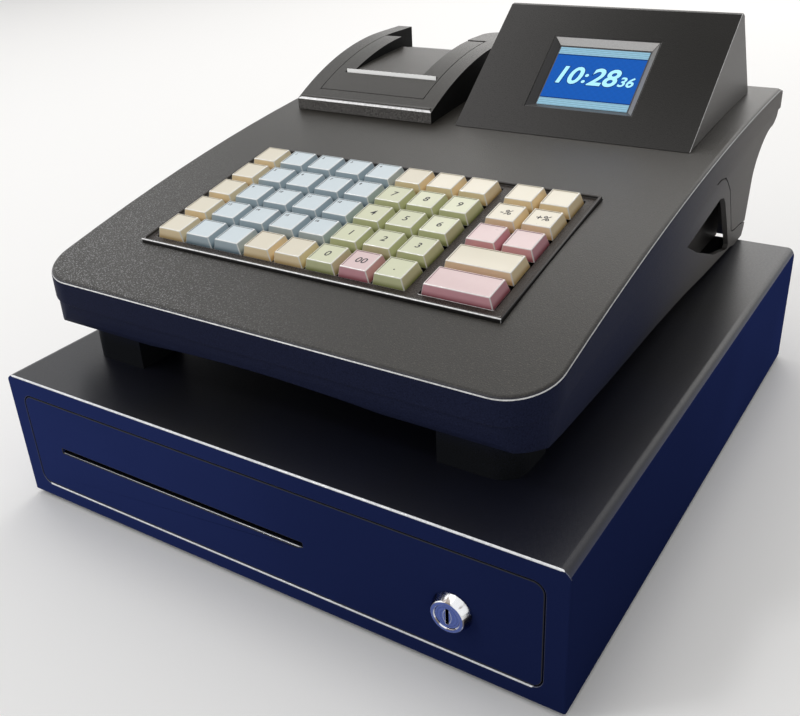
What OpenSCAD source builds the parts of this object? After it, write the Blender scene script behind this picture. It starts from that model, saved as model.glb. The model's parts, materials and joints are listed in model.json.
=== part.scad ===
// Ticket register standing on its steel cash drawer.
// Millimetres. +X is the user's right, the front faces -Y, +Z is up.
// Origin: centre of the bounding box's bottom face.

/* [Cash drawer] */
// width over the steel housing
drawer_w = 330; // [300:1:420]
// depth, front plane to back
drawer_d = 362; // [340:1:450]
// height of the steel housing
drawer_h = 75.5; // [70:0.5:100]
// height of the rubber feet
foot_h = 3; // [2:0.5:8]
// sheet thickness of the housing and the box
steel_t = 1.2; // [0.8:0.1:2]
// radius of the housing's top side edges
edge_r = 5.5; // [3:0.5:9]
// width of the front panel
front_w = 309; // [280:1:400]
// height of the front panel
front_h = 57.2; // [50:0.1:80]
// seam round the front panel
front_gap = 0.6; // [0.3:0.1:1.5]
// corner radius of the front panel
front_r = 6; // [2:0.5:10]
// media slot length
slot_w = 164; // [120:1:190]
// media slot height
slot_h = 3; // [2:0.5:6]
// lock centre, to the right of the drawer's centre
lock_x = 112; // [95:1:130]
// lock bezel diameter
lock_d = 20; // [17:0.5:26]
// how far the lock bezel stands out of the front
lock_proud = 5; // [3:0.5:8]
// drawer travel
drawer_travel = 260; // [150:5:270]

/* [Register] */
// width over the upper case
reg_w = 296; // [280:1:320]
// the register's centre line, to the right of the drawer's
reg_x = -9; // [-15:1:15]
// front edge of the register, from the drawer's centre
reg_front = 156; // [140:1:170]
// radius of the arched deck
deck_r = 1591; // [1300:1:2200]
// height of the deck's apex above the drawer
deck_top = 98.6; // [90:0.1:115]
// apex of the deck, behind the drawer's centre
deck_apex = 231.5; // [200:0.5:260]
// depth of the band round the upper case
band_h = 13; // [9:0.5:18]
// wall thickness of the cases
case_t = 3; // [2:0.1:4]
// plan radius of the front corners
corner_r = 24; // [12:1:32]
// plan radius of the rear corners
rear_r = 5; // [4:1:20]
// rear nose, from the drawer's centre
nose_y = 203; // [195:1:215]
// front face of the front feet, from the drawer's centre
ffoot_y = 141.5; // [130:0.5:148]
// height of the front feet
ffoot_h = 16.5; // [12:0.5:24]
// shadow gap between the two halves of the case
seam = 0.8; // [0.4:0.1:1.5]

/* [Keypad] */
// key pitch across
key_px = 19.8; // [19.5:0.1:20.2]
// key pitch up the slope
key_py = 20.8; // [20:0.1:21]
// key skirt, across
key_base_x = 18.5; // [17:0.1:19]
// key skirt, along
key_base_y = 17.5; // [16:0.1:19]
// key top, across
key_top_x = 15; // [12:0.1:16.5]
// key top, along
key_top_y = 15.5; // [13:0.1:17]
// key top above the deck
key_h = 6.1; // [5:0.1:11]
// key travel
key_travel = 3; // [1.5:0.1:3.1]
// clearance of a key stem in its guide, per side
stem_gap = 0.1; // [0.05:0.05:0.2]
// keypad frame, across
kp_w = 216.2; // [214:0.1:222]
// keypad frame, along the slope
kp_l = 113.4; // [112:0.1:118]
// height of the keypad frame above the deck
kp_rim = 2.2; // [1.5:0.1:4]

/* [Printer] */
// left end of the printer, from the register's centre
pr_x0 = -132; // [-136:0.5:-128]
// right end of the printer
pr_x1 = -29; // [-34:0.5:-24]
// front lip of the printer
pr_y0 = 62; // [56:0.5:68]
// rear face of the printer
pr_y1 = 190; // [182:0.5:192]
// radius of the cheeks' outline
cheek_r = 220; // [180:1:280]
// thickness of a cheek
cheek_t = 11.4; // [6:0.1:13]
// width of a lid arch
arch_w = 13.3; // [8:0.1:16]
// seam round the lid
lid_gap = 0.5; // [0.3:0.1:1]
// platen roller diameter
platen_d = 9; // [7:0.5:10]
// paper roll diameter
roll_d = 42; // [30:1:44]
// paper width
paper_w = 69; // [57:1:70]
// paper sheet thickness as modelled
paper_t = 0.25; // [0.15:0.05:0.4]

/* [Display] */
// left end of the display housing, from the register's centre
ds_x0 = -13.4; // [-20:0.1:-8]
// right end of the display housing
ds_x1 = 131.8; // [125:0.1:136]
// front edge of the display housing
ds_y0 = 64; // [58:0.5:70]
// rear edge of the display housing
ds_y1 = 178; // [170:0.5:180]
// top edge of the display housing, behind the drawer's centre
ds_top_y = 141; // [134:0.5:148]
// top edge of the display housing, above the drawer
ds_top_z = 149.5; // [140:0.5:160]
// recess round the screen, across
win_w = 66.9; // [62:0.1:72]
// recess round the screen, up the slope
win_l = 54.3; // [50:0.1:60]
// visible picture, across
lcd_w = 58; // [55:0.1:60]
// visible picture, up the slope
lcd_l = 45; // [42:0.1:48]
// bottom of the recess, up the slope from the front edge
win_s = 20; // [15:0.5:26]
// left edge of the recess, from the register's centre
win_x = 25.4; // [15:0.1:45]

/* [Hidden] */
$fn = 48;
big = 900;
eps = 0.01;

// frame of the object
y_min = -drawer_d / 2 - lock_proud;
y_mid = (y_min + nose_y) / 2;
rest_z = foot_h + drawer_h;

// drawer
hw = drawer_w / 2;
hd = drawer_d / 2;
in_x = hw - steel_t;
front_z0 = foot_h + 8.3;
front_t = 2.4;
slot_x0 = -131.5;
slot_z = foot_h + 36;
lock_z = foot_h + 33;
barrel_d = 15;
plug_d = 11.8;
plug_gap = 0.05;
box_x = front_w / 2 - 6.6;
box_y0 = -hd + front_t + 0.2;
box_y1 = hd - 31;
box_z0 = foot_h + 10;
box_z1 = foot_h + 62;
base_t = 1.5;
tongue_z0 = foot_h + 34;
tongue_z1 = foot_h + 38;
flange_t = 2;
rail_gap = 0.3;
till_x = box_x - steel_t - 0.6;
till_y0 = -hd + 20;
till_y1 = box_y1 - steel_t - 8;
till_z1 = box_z1 - 1;
till_z0 = box_z0 + steel_t + 0.2;
till_t = 2;
coin_z0 = foot_h + 41;
coin_l = 58;
bay_n = 4;
bay_p = (2 * till_x - till_t) / bay_n;
bay_w = bay_p - till_t;
coin_y1 = till_y0 + till_t + 2 * (coin_l + till_t);
pin_d = 4;
pin_gap = 0.08;
clip_y = till_y1 - 10;
clip_z = till_z1 - 6;
clip_l = 96;
clip_a = 21;
latch_x = 60;
latch_y = hd - 5.5;
latch_z = foot_h + 19;
lip_y = latch_y - 15.5;
strike_z = latch_z + 7.5;
weld = 0.02;

// register
front_y = -reg_front;
rw = reg_w / 2;
deck_cz = deck_top - deck_r;
nose_r = 13;
nose_cy = nose_y - nose_r;
nose_cz = deck_top - nose_r;
step = 1;
low_x = rw - step;
low_y = front_y + step;
ridge_a = 7.85;
side_tilt = 7.4;
tub_x = 121;
tub_y0 = -138;
tub_y1 = 178;
tub_z = 20;
tub_t = 2.5;
wall_y = 185;
wall_gap = 0.6;
bay_x = 124;
leg_y = 189.5;
leg_y0 = 92;
leg_z = 6;
nose_low = nose_y - 1.6;
tip_r = 9;
tip_z = 83.5;
grip_r = 20.5;
grip_y = 190;
grip_z = tip_z - tip_r - grip_r;
groove = 0.9;
groove_path = [
  [70, 72.6], [78.7, 73.2], [86.5, 71.3], [92.7, 67.8], [107.6, 58], [132.9, 32.7], [145.5, 19.6],
  [150.5, 16.9], [158.7, 15.6], [171, 14.4], [192, 10.2]
];
screw_x = 108;
screw_y0 = -126;
screw_y1 = 30;
screw_d = 3;
seat = 0.15;

// keypad
kp_a = 10.49;
kp_x = 1.1;
kp_y = -57.75;
kp_z = 71;
kp_gap = 0.3;
kp_edge = 1.6;
kp_field = 0.8;
key_gap = 0.4;
floor_z = -4;
floor_t = 2;
key_z0 = floor_z + key_travel + 0.4;
stem = 6;
stem_z = floor_z - floor_t - 2.2;
board_z = stem_z - key_travel - 0.2;
col_x0 = -93.2;
row_y0 = 42.3;
rcol_x = [71.8, 91.6];
wide_w = 37.6;

// printer
cheek_cy = 165;
cheek_cz = -98;
panel_r = 800;
panel_cy = 185.8;
panel_cz = -684.5;
lid_x0 = pr_x0 + cheek_t + lid_gap;
lid_x1 = pr_x1 - cheek_t - lid_gap;
lid_y0 = 73;
lid_y1 = 154;
lid_t = 2.4;
lid_back = lid_y1 + 3.4;
hinge_y = lid_y1 - 1;
hinge_z = 118;
slit_y0 = 91;
slit_y1 = 94.3;
paper_c = -77.5;
paper_y = 92.4;
platen_z = 96;
platen_y = paper_y + paper_t + 0.1 + platen_d / 2;
well_x0 = -118;
well_x1 = -37;
well_y0 = 80;
well_y1 = 175;
well_z = 56;
well_t = 2;
plate_z = 98.4;
hood_z = 112;
hood_drop = 4.5;
shoulder_x = 14.7;
shoulder_r = 12;
roll_y = 136;
roll_z = 82;

// display
ds_run = ds_top_y - ds_y0;
ds_front_z = deck_z(ds_y0);
ds_rise = ds_top_z - ds_front_z;
ds_a = atan(ds_rise / ds_run);
ds_t = 3;

function deck_z(y) = deck_cz + sqrt(deck_r * deck_r - (deck_apex - y) * (deck_apex - y));
function col(i) = col_x0 + i * key_px;
function row(j) = row_y0 - j * key_py;

module frame() {
  translate([0, -y_mid, 0]) children();
}

module reg() {
  translate([reg_x, -y_mid, rest_z]) children();
}

module kp() {
  reg() translate([kp_x, kp_y, kp_z]) rotate([kp_a, 0, 0]) children();
}

module ds() {
  reg() translate([0, ds_y0, ds_front_z]) rotate([ds_a, 0, 0]) children();
}

module box(x0, x1, y0, y1, z0, z1) {
  translate([x0, y0, z0]) cube([x1 - x0, y1 - y0, z1 - z0]);
}

module xcyl(y, z, d, x0, x1, f = 48) {
  translate([x0, y, z]) rotate([0, 90, 0]) cylinder(d = d, h = x1 - x0, $fn = f);
}

module ycyl(x, z, d, y0, y1, f = 48) {
  translate([x, y1, z]) rotate([90, 0, 0]) cylinder(d = d, h = y1 - y0, $fn = f);
}

module zcyl(x, y, d, z0, z1, f = 48) {
  translate([x, y, z0]) cylinder(d = d, h = z1 - z0, $fn = f);
}

module xprism(x0, x1, pts) {
  translate([x0, 0, 0]) rotate([90, 0, 90]) linear_extrude(height = x1 - x0) polygon(pts);
}

// plan prism: front corners rf, rear corners rr
module plan(x, y0, y1, rf, rr, z0, z1) {
  box(-x, x, y0 + rf, y1 - rr, z0, z1);
  box(-x + rf, x - rf, y0, y0 + rf + 1, z0, z1);
  box(-x + rr, x - rr, y1 - rr - 1, y1, z0, z1);
  for (s = [-1, 1]) {
    zcyl(s * (x - rf), y0 + rf, 2 * rf, z0, z1, 96);
    zcyl(s * (x - rr), y1 - rr, 2 * rr, z0, z1, 72);
  }
}

// front panel outline as a prism along y
module panel(x, z0, z1, r, y0, y1) {
  box(-x, x, y0, y1, z0 + r, z1 - r);
  box(-x + r, x - r, y0, y1, z0, z1);
  for (sx = [-x + r, x - r])
    for (z = [z0 + r, z1 - r])
      ycyl(sx, z, 2 * r, y0, y1);
}

// section of the drawer housing: square bottom, round top edges, as a prism along y
module hood_shape(x, z0, z1, r, y0, y1) {
  box(-x, x, y0, y1, z0, z1 - r);
  box(-x + r, x - r, y0, y1, z0, z1);
  for (sx = [-x + r, x - r])
    ycyl(sx, z1 - r, 2 * r, y0, y1);
}

module drawer_housing() color([0.10, 0.12, 0.24]) frame() {
  difference() {
    intersection() {
      hood_shape(hw, foot_h, rest_z, edge_r, -hd, hd);
      plan(hw, -hd, hd, 1.2, edge_r, 0, rest_z + 1);
    }
    intersection() {
      hood_shape(in_x, foot_h - 1, rest_z - steel_t, edge_r - steel_t, -hd + steel_t, hd - steel_t);
      plan(in_x, -hd + steel_t, hd - steel_t, 0.5, edge_r - steel_t, 0, rest_z);
    }
    panel(front_w / 2, front_z0, front_z0 + front_h, front_r, -hd - 1, -hd + steel_t + 1);
    for (x = [-60, 60])
      ycyl(x, foot_h + 22, 16, hd - steel_t - 1, hd + 1);
  }
}

module drawer_base() color([0.35, 0.36, 0.38]) frame() {
  bx = in_x - 0.3;
  difference() {
    union() {
      plan(bx, -hd + steel_t + 0.3, hd - steel_t - 0.3, 1, edge_r, foot_h, foot_h + base_t);
      for (s = [-1, 1]) {
        box(s > 0 ? bx - base_t : -bx, s > 0 ? bx : -bx + base_t, -hd + 10, hd - 10, foot_h, foot_h + 9);
        box(latch_x + s * 9 - 1.5, latch_x + s * 9 + 1.5, latch_y - 5, latch_y + 4, foot_h + 1, latch_z + 5);
      }
      box(-70, -50, hd - 6, hd - 3, foot_h + 1, foot_h + 40);
    }
    xcyl(latch_y, latch_z, pin_d + 2 * pin_gap, latch_x - 12, latch_x + 12);
  }
}

module drawer_feet() color([0.04, 0.04, 0.05]) frame() {
  for (x = [-hw + 22, hw - 22])
    for (y = [-hd + 20, hd - 20]) {
      zcyl(x, y, 20, 0, foot_h);
    }
}

module drawer_rails() color([0.6, 0.62, 0.64]) frame() {
  for (s = [0, 1])
    mirror([s, 0, 0]) {
      box(in_x - 3.9, in_x - 2, -hd + 6, hd - 8, foot_h + 17, foot_h + 54);
      box(box_x + 1.2, in_x - 3.8, -hd + 6, hd - 8, tongue_z0, tongue_z1);
      for (y = [-hd + 30, 0, hd - 30]) {
        box(in_x - 2.1, in_x, y - 8, y + 8, foot_h + 44, foot_h + 52);
      }
    }
}

module drawer_front() color([0.10, 0.12, 0.24]) frame() {
  difference() {
    panel(front_w / 2 - front_gap, front_z0 + front_gap, front_z0 + front_h - front_gap,
      front_r - front_gap, -hd, -hd + front_t);
    box(slot_x0, slot_x0 + slot_w, -hd - 1, -hd + front_t + 1, slot_z - slot_h / 2, slot_z + slot_h / 2);
    ycyl(lock_x, lock_z, barrel_d + 0.2, -hd - 1, -hd + front_t + 1);
  }
}

module drawer_box() color([0.62, 0.63, 0.65]) frame() {
  difference() {
    box(-box_x, box_x, box_y0, box_y1, box_z0, box_z1);
    box(-box_x + steel_t, box_x - steel_t, box_y0 + steel_t, box_y1 - steel_t, box_z0 + steel_t, box_z1 + 1);
    box(slot_x0 - 4, slot_x0 + slot_w + 4, box_y0 - 1, box_y0 + steel_t + 1, slot_z - 4, slot_z + 4);
    ycyl(lock_x, lock_z, barrel_d + 0.6, box_y0 - 1, box_y0 + steel_t + 1);
  }
  for (s = [0, 1])
    mirror([s, 0, 0]) {
      box(box_x - eps, box_x + 5.4, box_y0 + 6, box_y1, tongue_z1 + rail_gap, tongue_z1 + rail_gap + flange_t);
      box(box_x - eps, box_x + 5.4, box_y0 + 6, box_y1, tongue_z0 - rail_gap - flange_t, tongue_z0 - rail_gap);
    }
  strike_tab();
  strike_lip();
}

// bent tab behind the box, over the latch's hook
module strike_tab() {
  x0 = latch_x - 10;
  x1 = latch_x + 10;
  box(x0, x1, box_y1 + weld, lip_y + 1.5, strike_z, strike_z + 1.5);
  box(x0, x1, box_y1 + weld, box_y1 + weld + 1.5, strike_z, strike_z + 14);
}

// lip that the hook catches
module strike_lip() {
  box(latch_x - 7, latch_x + 7, lip_y, lip_y + 1.5, strike_z - 4.6, strike_z - weld);
}

module till_insert() color([0.07, 0.07, 0.08]) frame() {
  difference() {
    union() {
      box(-till_x, till_x, coin_y1 - till_t, till_y1, till_z0, till_z1);
      box(-till_x, till_x, till_y0, coin_y1, coin_z0, till_z1);
    }
    for (i = [0:bay_n - 1]) {
      x0 = -till_x + till_t + i * bay_p;
      box(x0, x0 + bay_w, coin_y1, till_y1 - till_t, till_z0 + till_t, till_z1 + 1);
      for (j = [0, 1]) {
        y0 = till_y0 + till_t + j * (coin_l + till_t);
        intersection() {
          box(x0, x0 + bay_w, y0, y0 + coin_l, coin_z0 + till_t, till_z1 + 1);
          xcyl(y0 + coin_l / 2, coin_z0 + till_t + 36, 72, x0 - 1, x0 + bay_w + 1);
        }
      }
    }
  }
  for (i = [0:bay_n - 1]) {
    xc = -till_x + till_t + i * bay_p + bay_w / 2;
    for (s = [-1, 1])
      difference() {
        box(xc + s * 16 - 1.5, xc + s * 16 + 1.5, clip_y - 5, till_y1 - till_t + eps, clip_z - 5, clip_z + 5);
        xcyl(clip_y, clip_z, pin_d + 2 * pin_gap, xc + s * 16 - 3, xc + s * 16 + 3);
      }
  }
}

module note_clip(i) color([0.75, 0.76, 0.78]) frame() {
  xc = -till_x + till_t + (i - 1) * bay_p + bay_w / 2;
  translate([xc, clip_y, clip_z]) {
    xcyl(0, 0, pin_d, -19, 19);
    rotate([clip_a, 0, 0])
      difference() {
        union() {
          box(-9, 9, -clip_l, -1, -1.2, 1.2);
          xcyl(0, 0, 7.5, -9, 9);
          xcyl(-clip_l, 0.8, 4, -13, 13);
        }
        box(-5, 5, -clip_l + 8, -14, -3, 3);
      }
  }
}

module note_clip_1() {
  note_clip(1);
}

module note_clip_2() {
  note_clip(2);
}

module note_clip_3() {
  note_clip(3);
}

module note_clip_4() {
  note_clip(4);
}

module lock_bezel() color([0.85, 0.85, 0.87]) frame() {
  difference() {
    union() {
      translate([lock_x, -hd - lock_proud, lock_z]) rotate([-90, 0, 0])
        cylinder(d1 = lock_d - 4, d2 = lock_d, h = lock_proud, $fn = 64);
      ycyl(lock_x, lock_z, barrel_d, -hd - eps, -hd + 14);
    }
    ycyl(lock_x, lock_z, plug_d + 2 * plug_gap, -hd - lock_proud - 1, -hd + 15, 64);
  }
}

module lock_plug() color([0.75, 0.75, 0.77]) frame() {
  difference() {
    ycyl(lock_x, lock_z, plug_d, -hd - lock_proud + 0.6, -hd + 14.6, 64);
    box(lock_x - 0.8, lock_x + 0.8, -hd - lock_proud, -hd - lock_proud + 9, lock_z - 4.2, lock_z + 4.2);
  }
  difference() {
    box(lock_x - 17, lock_x + 5, -hd + 14.4, -hd + 16.4, lock_z - 4, lock_z + 4);
    box(lock_x - 15, lock_x - 11, -hd + 14, -hd + 17, lock_z - 1.5, lock_z + 1.5);
  }
}

module drawer_latch() color([0.55, 0.56, 0.58]) frame() {
  translate([latch_x, latch_y, latch_z]) {
    xcyl(0, 0, pin_d, -11.5, 11.5);
    xcyl(0, 0, 8, -6.5, 6.5);
    box(-3.5, 3.5, -20, -1, -4, -2);
    box(-3.5, 3.5, -20, -17.4, -4, 1);
    box(-3.5, 3.5, -4, 4, -6, -2);
  }
}

module release_solenoid() color([0.62, 0.42, 0.2]) frame() {
  difference() {
    union() {
      box(latch_x + 16, latch_x + 46, hd - 28, hd - 4, foot_h + base_t, foot_h + base_t + 2);
      box(latch_x + 16, latch_x + 18, hd - 28, hd - 4, foot_h + base_t, foot_h + 26);
      box(latch_x + 44, latch_x + 46, hd - 28, hd - 4, foot_h + base_t, foot_h + 26);
      xcyl(hd - 16, foot_h + 14, 19, latch_x + 17.5, latch_x + 44.5);
      xcyl(hd - 16, foot_h + 14, 6, latch_x + 12, latch_x + 50);
    }
    zcyl(latch_x + 31, hd - 26, 3, foot_h, foot_h + 5);
  }
}

module ejector_spring() color([0.7, 0.71, 0.73]) frame() {
  yb = hd - 6.1;
  yf = box_y1 + 0.1;
  zb = foot_h + 8;
  xprism(-70, -50, [
    [yb, zb], [yb, zb + 29], [yf + 8, zb + 37], [yf + 2.4, zb + 33], [yf, zb + 27], [yf, zb + 24.5],
    [yf + 2.4, zb + 19], [yf + 6.5, zb + 15.4], [yf + 7.1, zb + 16], [yf + 3.2, zb + 19.5],
    [yf + 0.9, zb + 24.7], [yf + 0.9, zb + 26.8], [yf + 3.1, zb + 32.3], [yf + 8.3, zb + 36],
    [yb - 0.8, zb + 28.5], [yb - 0.8, zb]
  ]);
}

// everything below the deck's arch, lowered by o
module under_deck(o, y0, y1) {
  intersection() {
    xcyl(deck_apex, deck_cz, 2 * (deck_r - o), -rw - 5, rw + 5, 720);
    box(-rw - 4, rw + 4, y0, y1, -60, 200);
  }
}

// the upper case's outline, shrunk by o
module top_shape(o) {
  intersection() {
    plan(rw - o, front_y + o, nose_y - o, corner_r - o, rear_r - o, -60, 140);
    under_deck(o, front_y - 5, nose_y + 5);
    union() {
      box(-rw - 4, rw + 4, front_y - 5, nose_cy, -60, 200);
      xcyl(nose_cy, nose_cz, 2 * (nose_r - o), -rw - 4, rw + 4, 96);
      box(-rw - 4, rw + 4, nose_cy - 1, nose_y + 5, -60, nose_cz);
    }
  }
}

module upper_case() color([0.16, 0.17, 0.20]) reg() {
  difference() {
    top_shape(0);
    top_shape(case_t);
    under_deck(band_h, front_y - 10, nose_y + 10);
    translate([kp_x, kp_y, kp_z]) rotate([kp_a, 0, 0])
      box(-kp_w / 2 - kp_gap, kp_w / 2 + kp_gap, -kp_l / 2 - kp_gap, kp_l / 2 + kp_gap, -20, 20);
    box(well_x0 - 1, well_x1 + 1, well_y0 - 1, pr_y1 - 6, 40, 140);
    box(ds_x0 + 12, ds_x1 - 12, ds_y0 + 22, ds_y1 - 16, 40, 140);
  }
  for (x = [-screw_x, screw_x])
    for (y = [screw_y0, screw_y1])
      difference() {
        zcyl(x, y, 8, tub_z + tub_t + 0.1, deck_z(y) - 2, 32);
        zcyl(x, y, screw_d + 0.1, tub_z, tub_z + 16, 24);
      }
}

// half space inside the drafted side wall, shrunk by o
module side_draft(o) {
  translate([low_x - o, -150, 38]) rotate([ridge_a, 0, 0]) rotate([0, side_tilt, 0])
    translate([-big, -big / 2, -big]) cube([big, big, big + 60]);
}

module skirt_body(o) {
  intersection() {
    plan(low_x - o, low_y + o, nose_y - step - o, corner_r - step - o, rear_r - step - o, -10, 120);
    side_draft(o);
    mirror([1, 0, 0]) side_draft(o);
    union() {
      box(-bay_x + o, bay_x - o, front_y - 5, wall_y - o, -60, 200);
      leg_shape(o);
      box(-rw, rw, front_y - 5, nose_low - tip_r, tip_z - tip_r + o, 100);
      xcyl(nose_low - tip_r, tip_z, 2 * (tip_r - o), -rw, rw, 64);
      box(-rw, rw, grip_y - 30, nose_low - o, tip_z, 100);
    }
  }
}

module skirt_shape(o) {
  intersection() {
    skirt_body(o);
    under_deck(band_h + (o > 0 ? 2.5 : 0), front_y - 5, nose_y + 5);
  }
}

// side view of the rear legs: a slanted back that runs into the round hand grip
module leg_shape(o) {
  d = norm([leg_y - grip_y, leg_z - grip_z]);
  a = atan2(leg_z - grip_z, leg_y - grip_y) - acos(grip_r / d);
  t = [grip_y + grip_r * cos(a), grip_z + grip_r * sin(a)];
  q = [cos(a), sin(a)];
  difference() {
    xprism(-rw, rw, [
      [front_y - 5, -60], [leg_y - o, -60], [leg_y - o, leg_z], t + q * o,
      [grip_y, grip_z], [grip_y, grip_z + grip_r + 5], [front_y - 5, grip_z + grip_r + 5]
    ]);
    xcyl(grip_y, grip_z, 2 * (grip_r + o), -rw - 1, rw + 1, 96);
  }
}

// engraved line along a path in the side view, from x0 outwards
module side_line(path, w, x0) {
  for (i = [0:len(path) - 2]) {
    v = path[i + 1] - path[i];
    translate([x0, path[i][0], path[i][1]]) rotate([atan2(v[1], v[0]), 0, 0])
      translate([0, -w * 0.2, -w / 2]) cube([rw - x0 + 5, norm(v) + w * 0.4, w]);
  }
}

module tri_cut() {
  xprism(-rw - 10, rw + 10, [
    [29.3, 50.6], [56.8, 37.2], [107.7, 16.6], [144, 6.2], [148, 5.6], [148.2, 8.6],
    [124.2, 31.8], [103, 51.4], [95, 57], [85.6, 59.5], [58, 55.2]
  ]);
}

module lower_case() color([0.08, 0.09, 0.12]) reg() {
  difference() {
    union() {
      difference() {
        skirt_shape(0);
        skirt_shape(case_t);
      }
      difference() {
        intersection() {
          skirt_shape(1);
          under_deck(band_h, front_y, nose_y);
        }
        under_deck(band_h + tub_t, front_y - 5, nose_y + 5);
      }
      difference() {
        intersection() {
          box(-tub_x, tub_x, tub_y0, tub_y1, tub_z, 120);
          under_deck(band_h + 1, front_y, nose_y);
        }
      }
      for (s = [0, 1])
        mirror([s, 0, 0]) {
          box(91.5, 118, -ffoot_y, -112, 0, 30);
          zcyl(118, -ffoot_y + 13, 26, 0, 41, 64);
          box(117, 131, -ffoot_y + 13, -112, 0, 41);
          box(tub_x - 4, 131, -ffoot_y + 13, -112, 20, 41);
          // inner wall of the rear leg
          box(tub_x - tub_t, tub_x, leg_y0, wall_y - 1, -1, tub_z + 1);
        }
    }
    // electronics bay, open at the top
    box(-tub_x + tub_t, tub_x - tub_t, tub_y0 + tub_t, tub_y1 - tub_t, tub_z + tub_t, 130);
    // below the lower edges
    xprism(-rw - 5, rw + 5, [
      [front_y - 10, -20], [front_y - 10, 44], [low_y, 32], [low_y + 0.8, 28], [low_y + 2.5, 24.7],
      [-ffoot_y - 2, 24.7], [-ffoot_y - 2, -20]
    ]);
    for (s = [0, 1])
      mirror([s, 0, 0])
        difference() {
          xprism(131.05, rw + 5, [
            [-ffoot_y - 3, -20], [-ffoot_y - 3, 24.7], [-127, 22.6], [-68, 19], [1, 16.6],
            [49.5, 13.4], [92.8, 8.8], [124, 6], [157.6, 3.2], [170, 0], [170, -20]
          ]);
        }
    ycyl(0, 28.7 - 612, 1224, front_y - 10, -ffoot_y, 720);
    tri_side(0);
    tri_side(1);
    // below the rear wall, between the legs
    box(-112, 112, tub_y1 + 1, wall_y + 5, -5, wall_gap);
    // shadow gap under the upper half, and the line round the opening
    difference() {
      box(-rw, rw, front_y - 5, nose_y + 5, -5, 120);
      under_deck(band_h + seam, front_y - 6, nose_y + 6);
      skirt_body(seam);
    }
    for (s = [0, 1])
      mirror([s, 0, 0])
        difference() {
          side_line(groove_path, groove, 125);
          skirt_body(groove);
        }
    for (x = [-screw_x, screw_x])
      for (y = [screw_y0, screw_y1])
        union() {
          zcyl(x, y, screw_d + 0.1, tub_z - 1, tub_z + 6, 24);
          zcyl(x, y, 7, -1, tub_z, 32);
        }
    box(-rw - 5, rw + 5, front_y - 10, nose_y + 10, -30, 0);
    box(-102, -38, tub_y1 - 5, wall_y + 5, 28, 50);
    box(60.2, 89.8, tub_y1 - 5, wall_y + 5, 29.2, 44.8);
  }
}

module tri_side(s) {
  mirror([s, 0, 0])
    intersection() {
      tri_cut();
      box(tub_x + 0.01, rw + 5, -200, 250, -20, 150);
    }
}

module case_screws() color([0.7, 0.7, 0.72]) reg() {
  for (x = [-screw_x, screw_x])
    for (y = [screw_y0, screw_y1]) {
      difference() {
        union() {
          zcyl(x, y, 6, tub_z - 1.8, tub_z, 32);
          zcyl(x, y, screw_d, tub_z - 0.5, tub_z + 14, 24);
        }
        box(x - 2, x + 2, y - 0.4, y + 0.4, tub_z - 3, tub_z - 0.9);
        box(x - 0.4, x + 0.4, y - 2, y + 2, tub_z - 3, tub_z - 0.9);
      }
    }
}

module keypad_bezel() color([0.12, 0.13, 0.17]) kp() {
  hx = kp_w / 2;
  hy = kp_l / 2;
  difference() {
    union() {
      box(-hx, hx, -hy, hy, floor_z - floor_t, kp_rim);
      box(-hx - 3, hx + 3, -hy - 3, hy + 3, floor_z - floor_t, floor_z);
    }
    box(-hx + kp_edge, hx - kp_edge, -hy + kp_edge, hy - kp_edge, kp_field, kp_rim + 1);
    key_well(col(0), col(7));
    key_well(rcol_x[0], rcol_x[1]);
    for (i = [0:7])
      for (j = [0:4])
        stem_hole(col(i), row(j));
    for (x = rcol_x)
      for (j = [0:4])
        stem_hole(x, row(j));
  }
}

module key_well(x0, x1) {
  gx = key_base_x / 2 + key_gap;
  gy = key_base_y / 2 + key_gap;
  box(x0 - gx, x1 + gx, row(4) - gy, row(0) + gy, floor_z, kp_rim + 1);
}

module stem_hole(x, y) {
  h = stem / 2 + stem_gap;
  box(x - h, x + h, y - h, y + h, floor_z - floor_t - 1, floor_z + 1);
}

// one key: tapered cap, stem and snap lugs under the guide
module cap(x, y, bx, by, tx, ty) {
  translate([x, y, key_z0]) frustum(bx, by, tx, ty, key_h - key_z0);
}

// block with a rectangular base and a centred rectangular top
module frustum(bx, by, tx, ty, h) {
  polyhedron(
    points = [
      [-bx / 2, -by / 2, 0], [bx / 2, -by / 2, 0], [bx / 2, by / 2, 0], [-bx / 2, by / 2, 0],
      [-tx / 2, -ty / 2, h], [tx / 2, -ty / 2, h], [tx / 2, ty / 2, h], [-tx / 2, ty / 2, h]
    ],
    faces = [[0, 1, 2, 3], [4, 7, 6, 5], [0, 4, 5, 1], [1, 5, 6, 2], [2, 6, 7, 3], [3, 7, 4, 0]]
  );
}

module stalk(x, y) {
  h = stem / 2;
  box(x - h, x + h, y - h, y + h, stem_z, key_z0 + 1);
  box(x - h - 1, x + h + 1, y - 1.5, y + 1.5, stem_z, stem_z + 2);
}

module key(x, y) {
  cap(x, y, key_base_x, key_base_y, key_top_x, key_top_y);
  stalk(x, y);
}

module wide_key(y) {
  xc = (rcol_x[0] + rcol_x[1]) / 2;
  cap(xc, y, wide_w, key_base_y, wide_w - key_base_x + key_top_x, key_top_y);
  for (x = rcol_x)
    stalk(x, y);
}

module grey() {
  color([0.62, 0.66, 0.72]) kp() children();
}

module yellow() {
  color([0.93, 0.84, 0.45]) kp() children();
}

module pink() {
  color([0.92, 0.55, 0.60]) kp() children();
}

module blue() {
  color([0.45, 0.68, 0.88]) kp() children();
}

module key_7() {
  grey() key(col(5), row(1));
}

module key_8() {
  grey() key(col(6), row(1));
}

module key_9() {
  grey() key(col(7), row(1));
}

module key_4() {
  grey() key(col(5), row(2));
}

module key_5() {
  grey() key(col(6), row(2));
}

module key_6() {
  grey() key(col(7), row(2));
}

module key_1() {
  grey() key(col(5), row(3));
}

module key_2() {
  grey() key(col(6), row(3));
}

module key_3() {
  grey() key(col(7), row(3));
}

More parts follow.
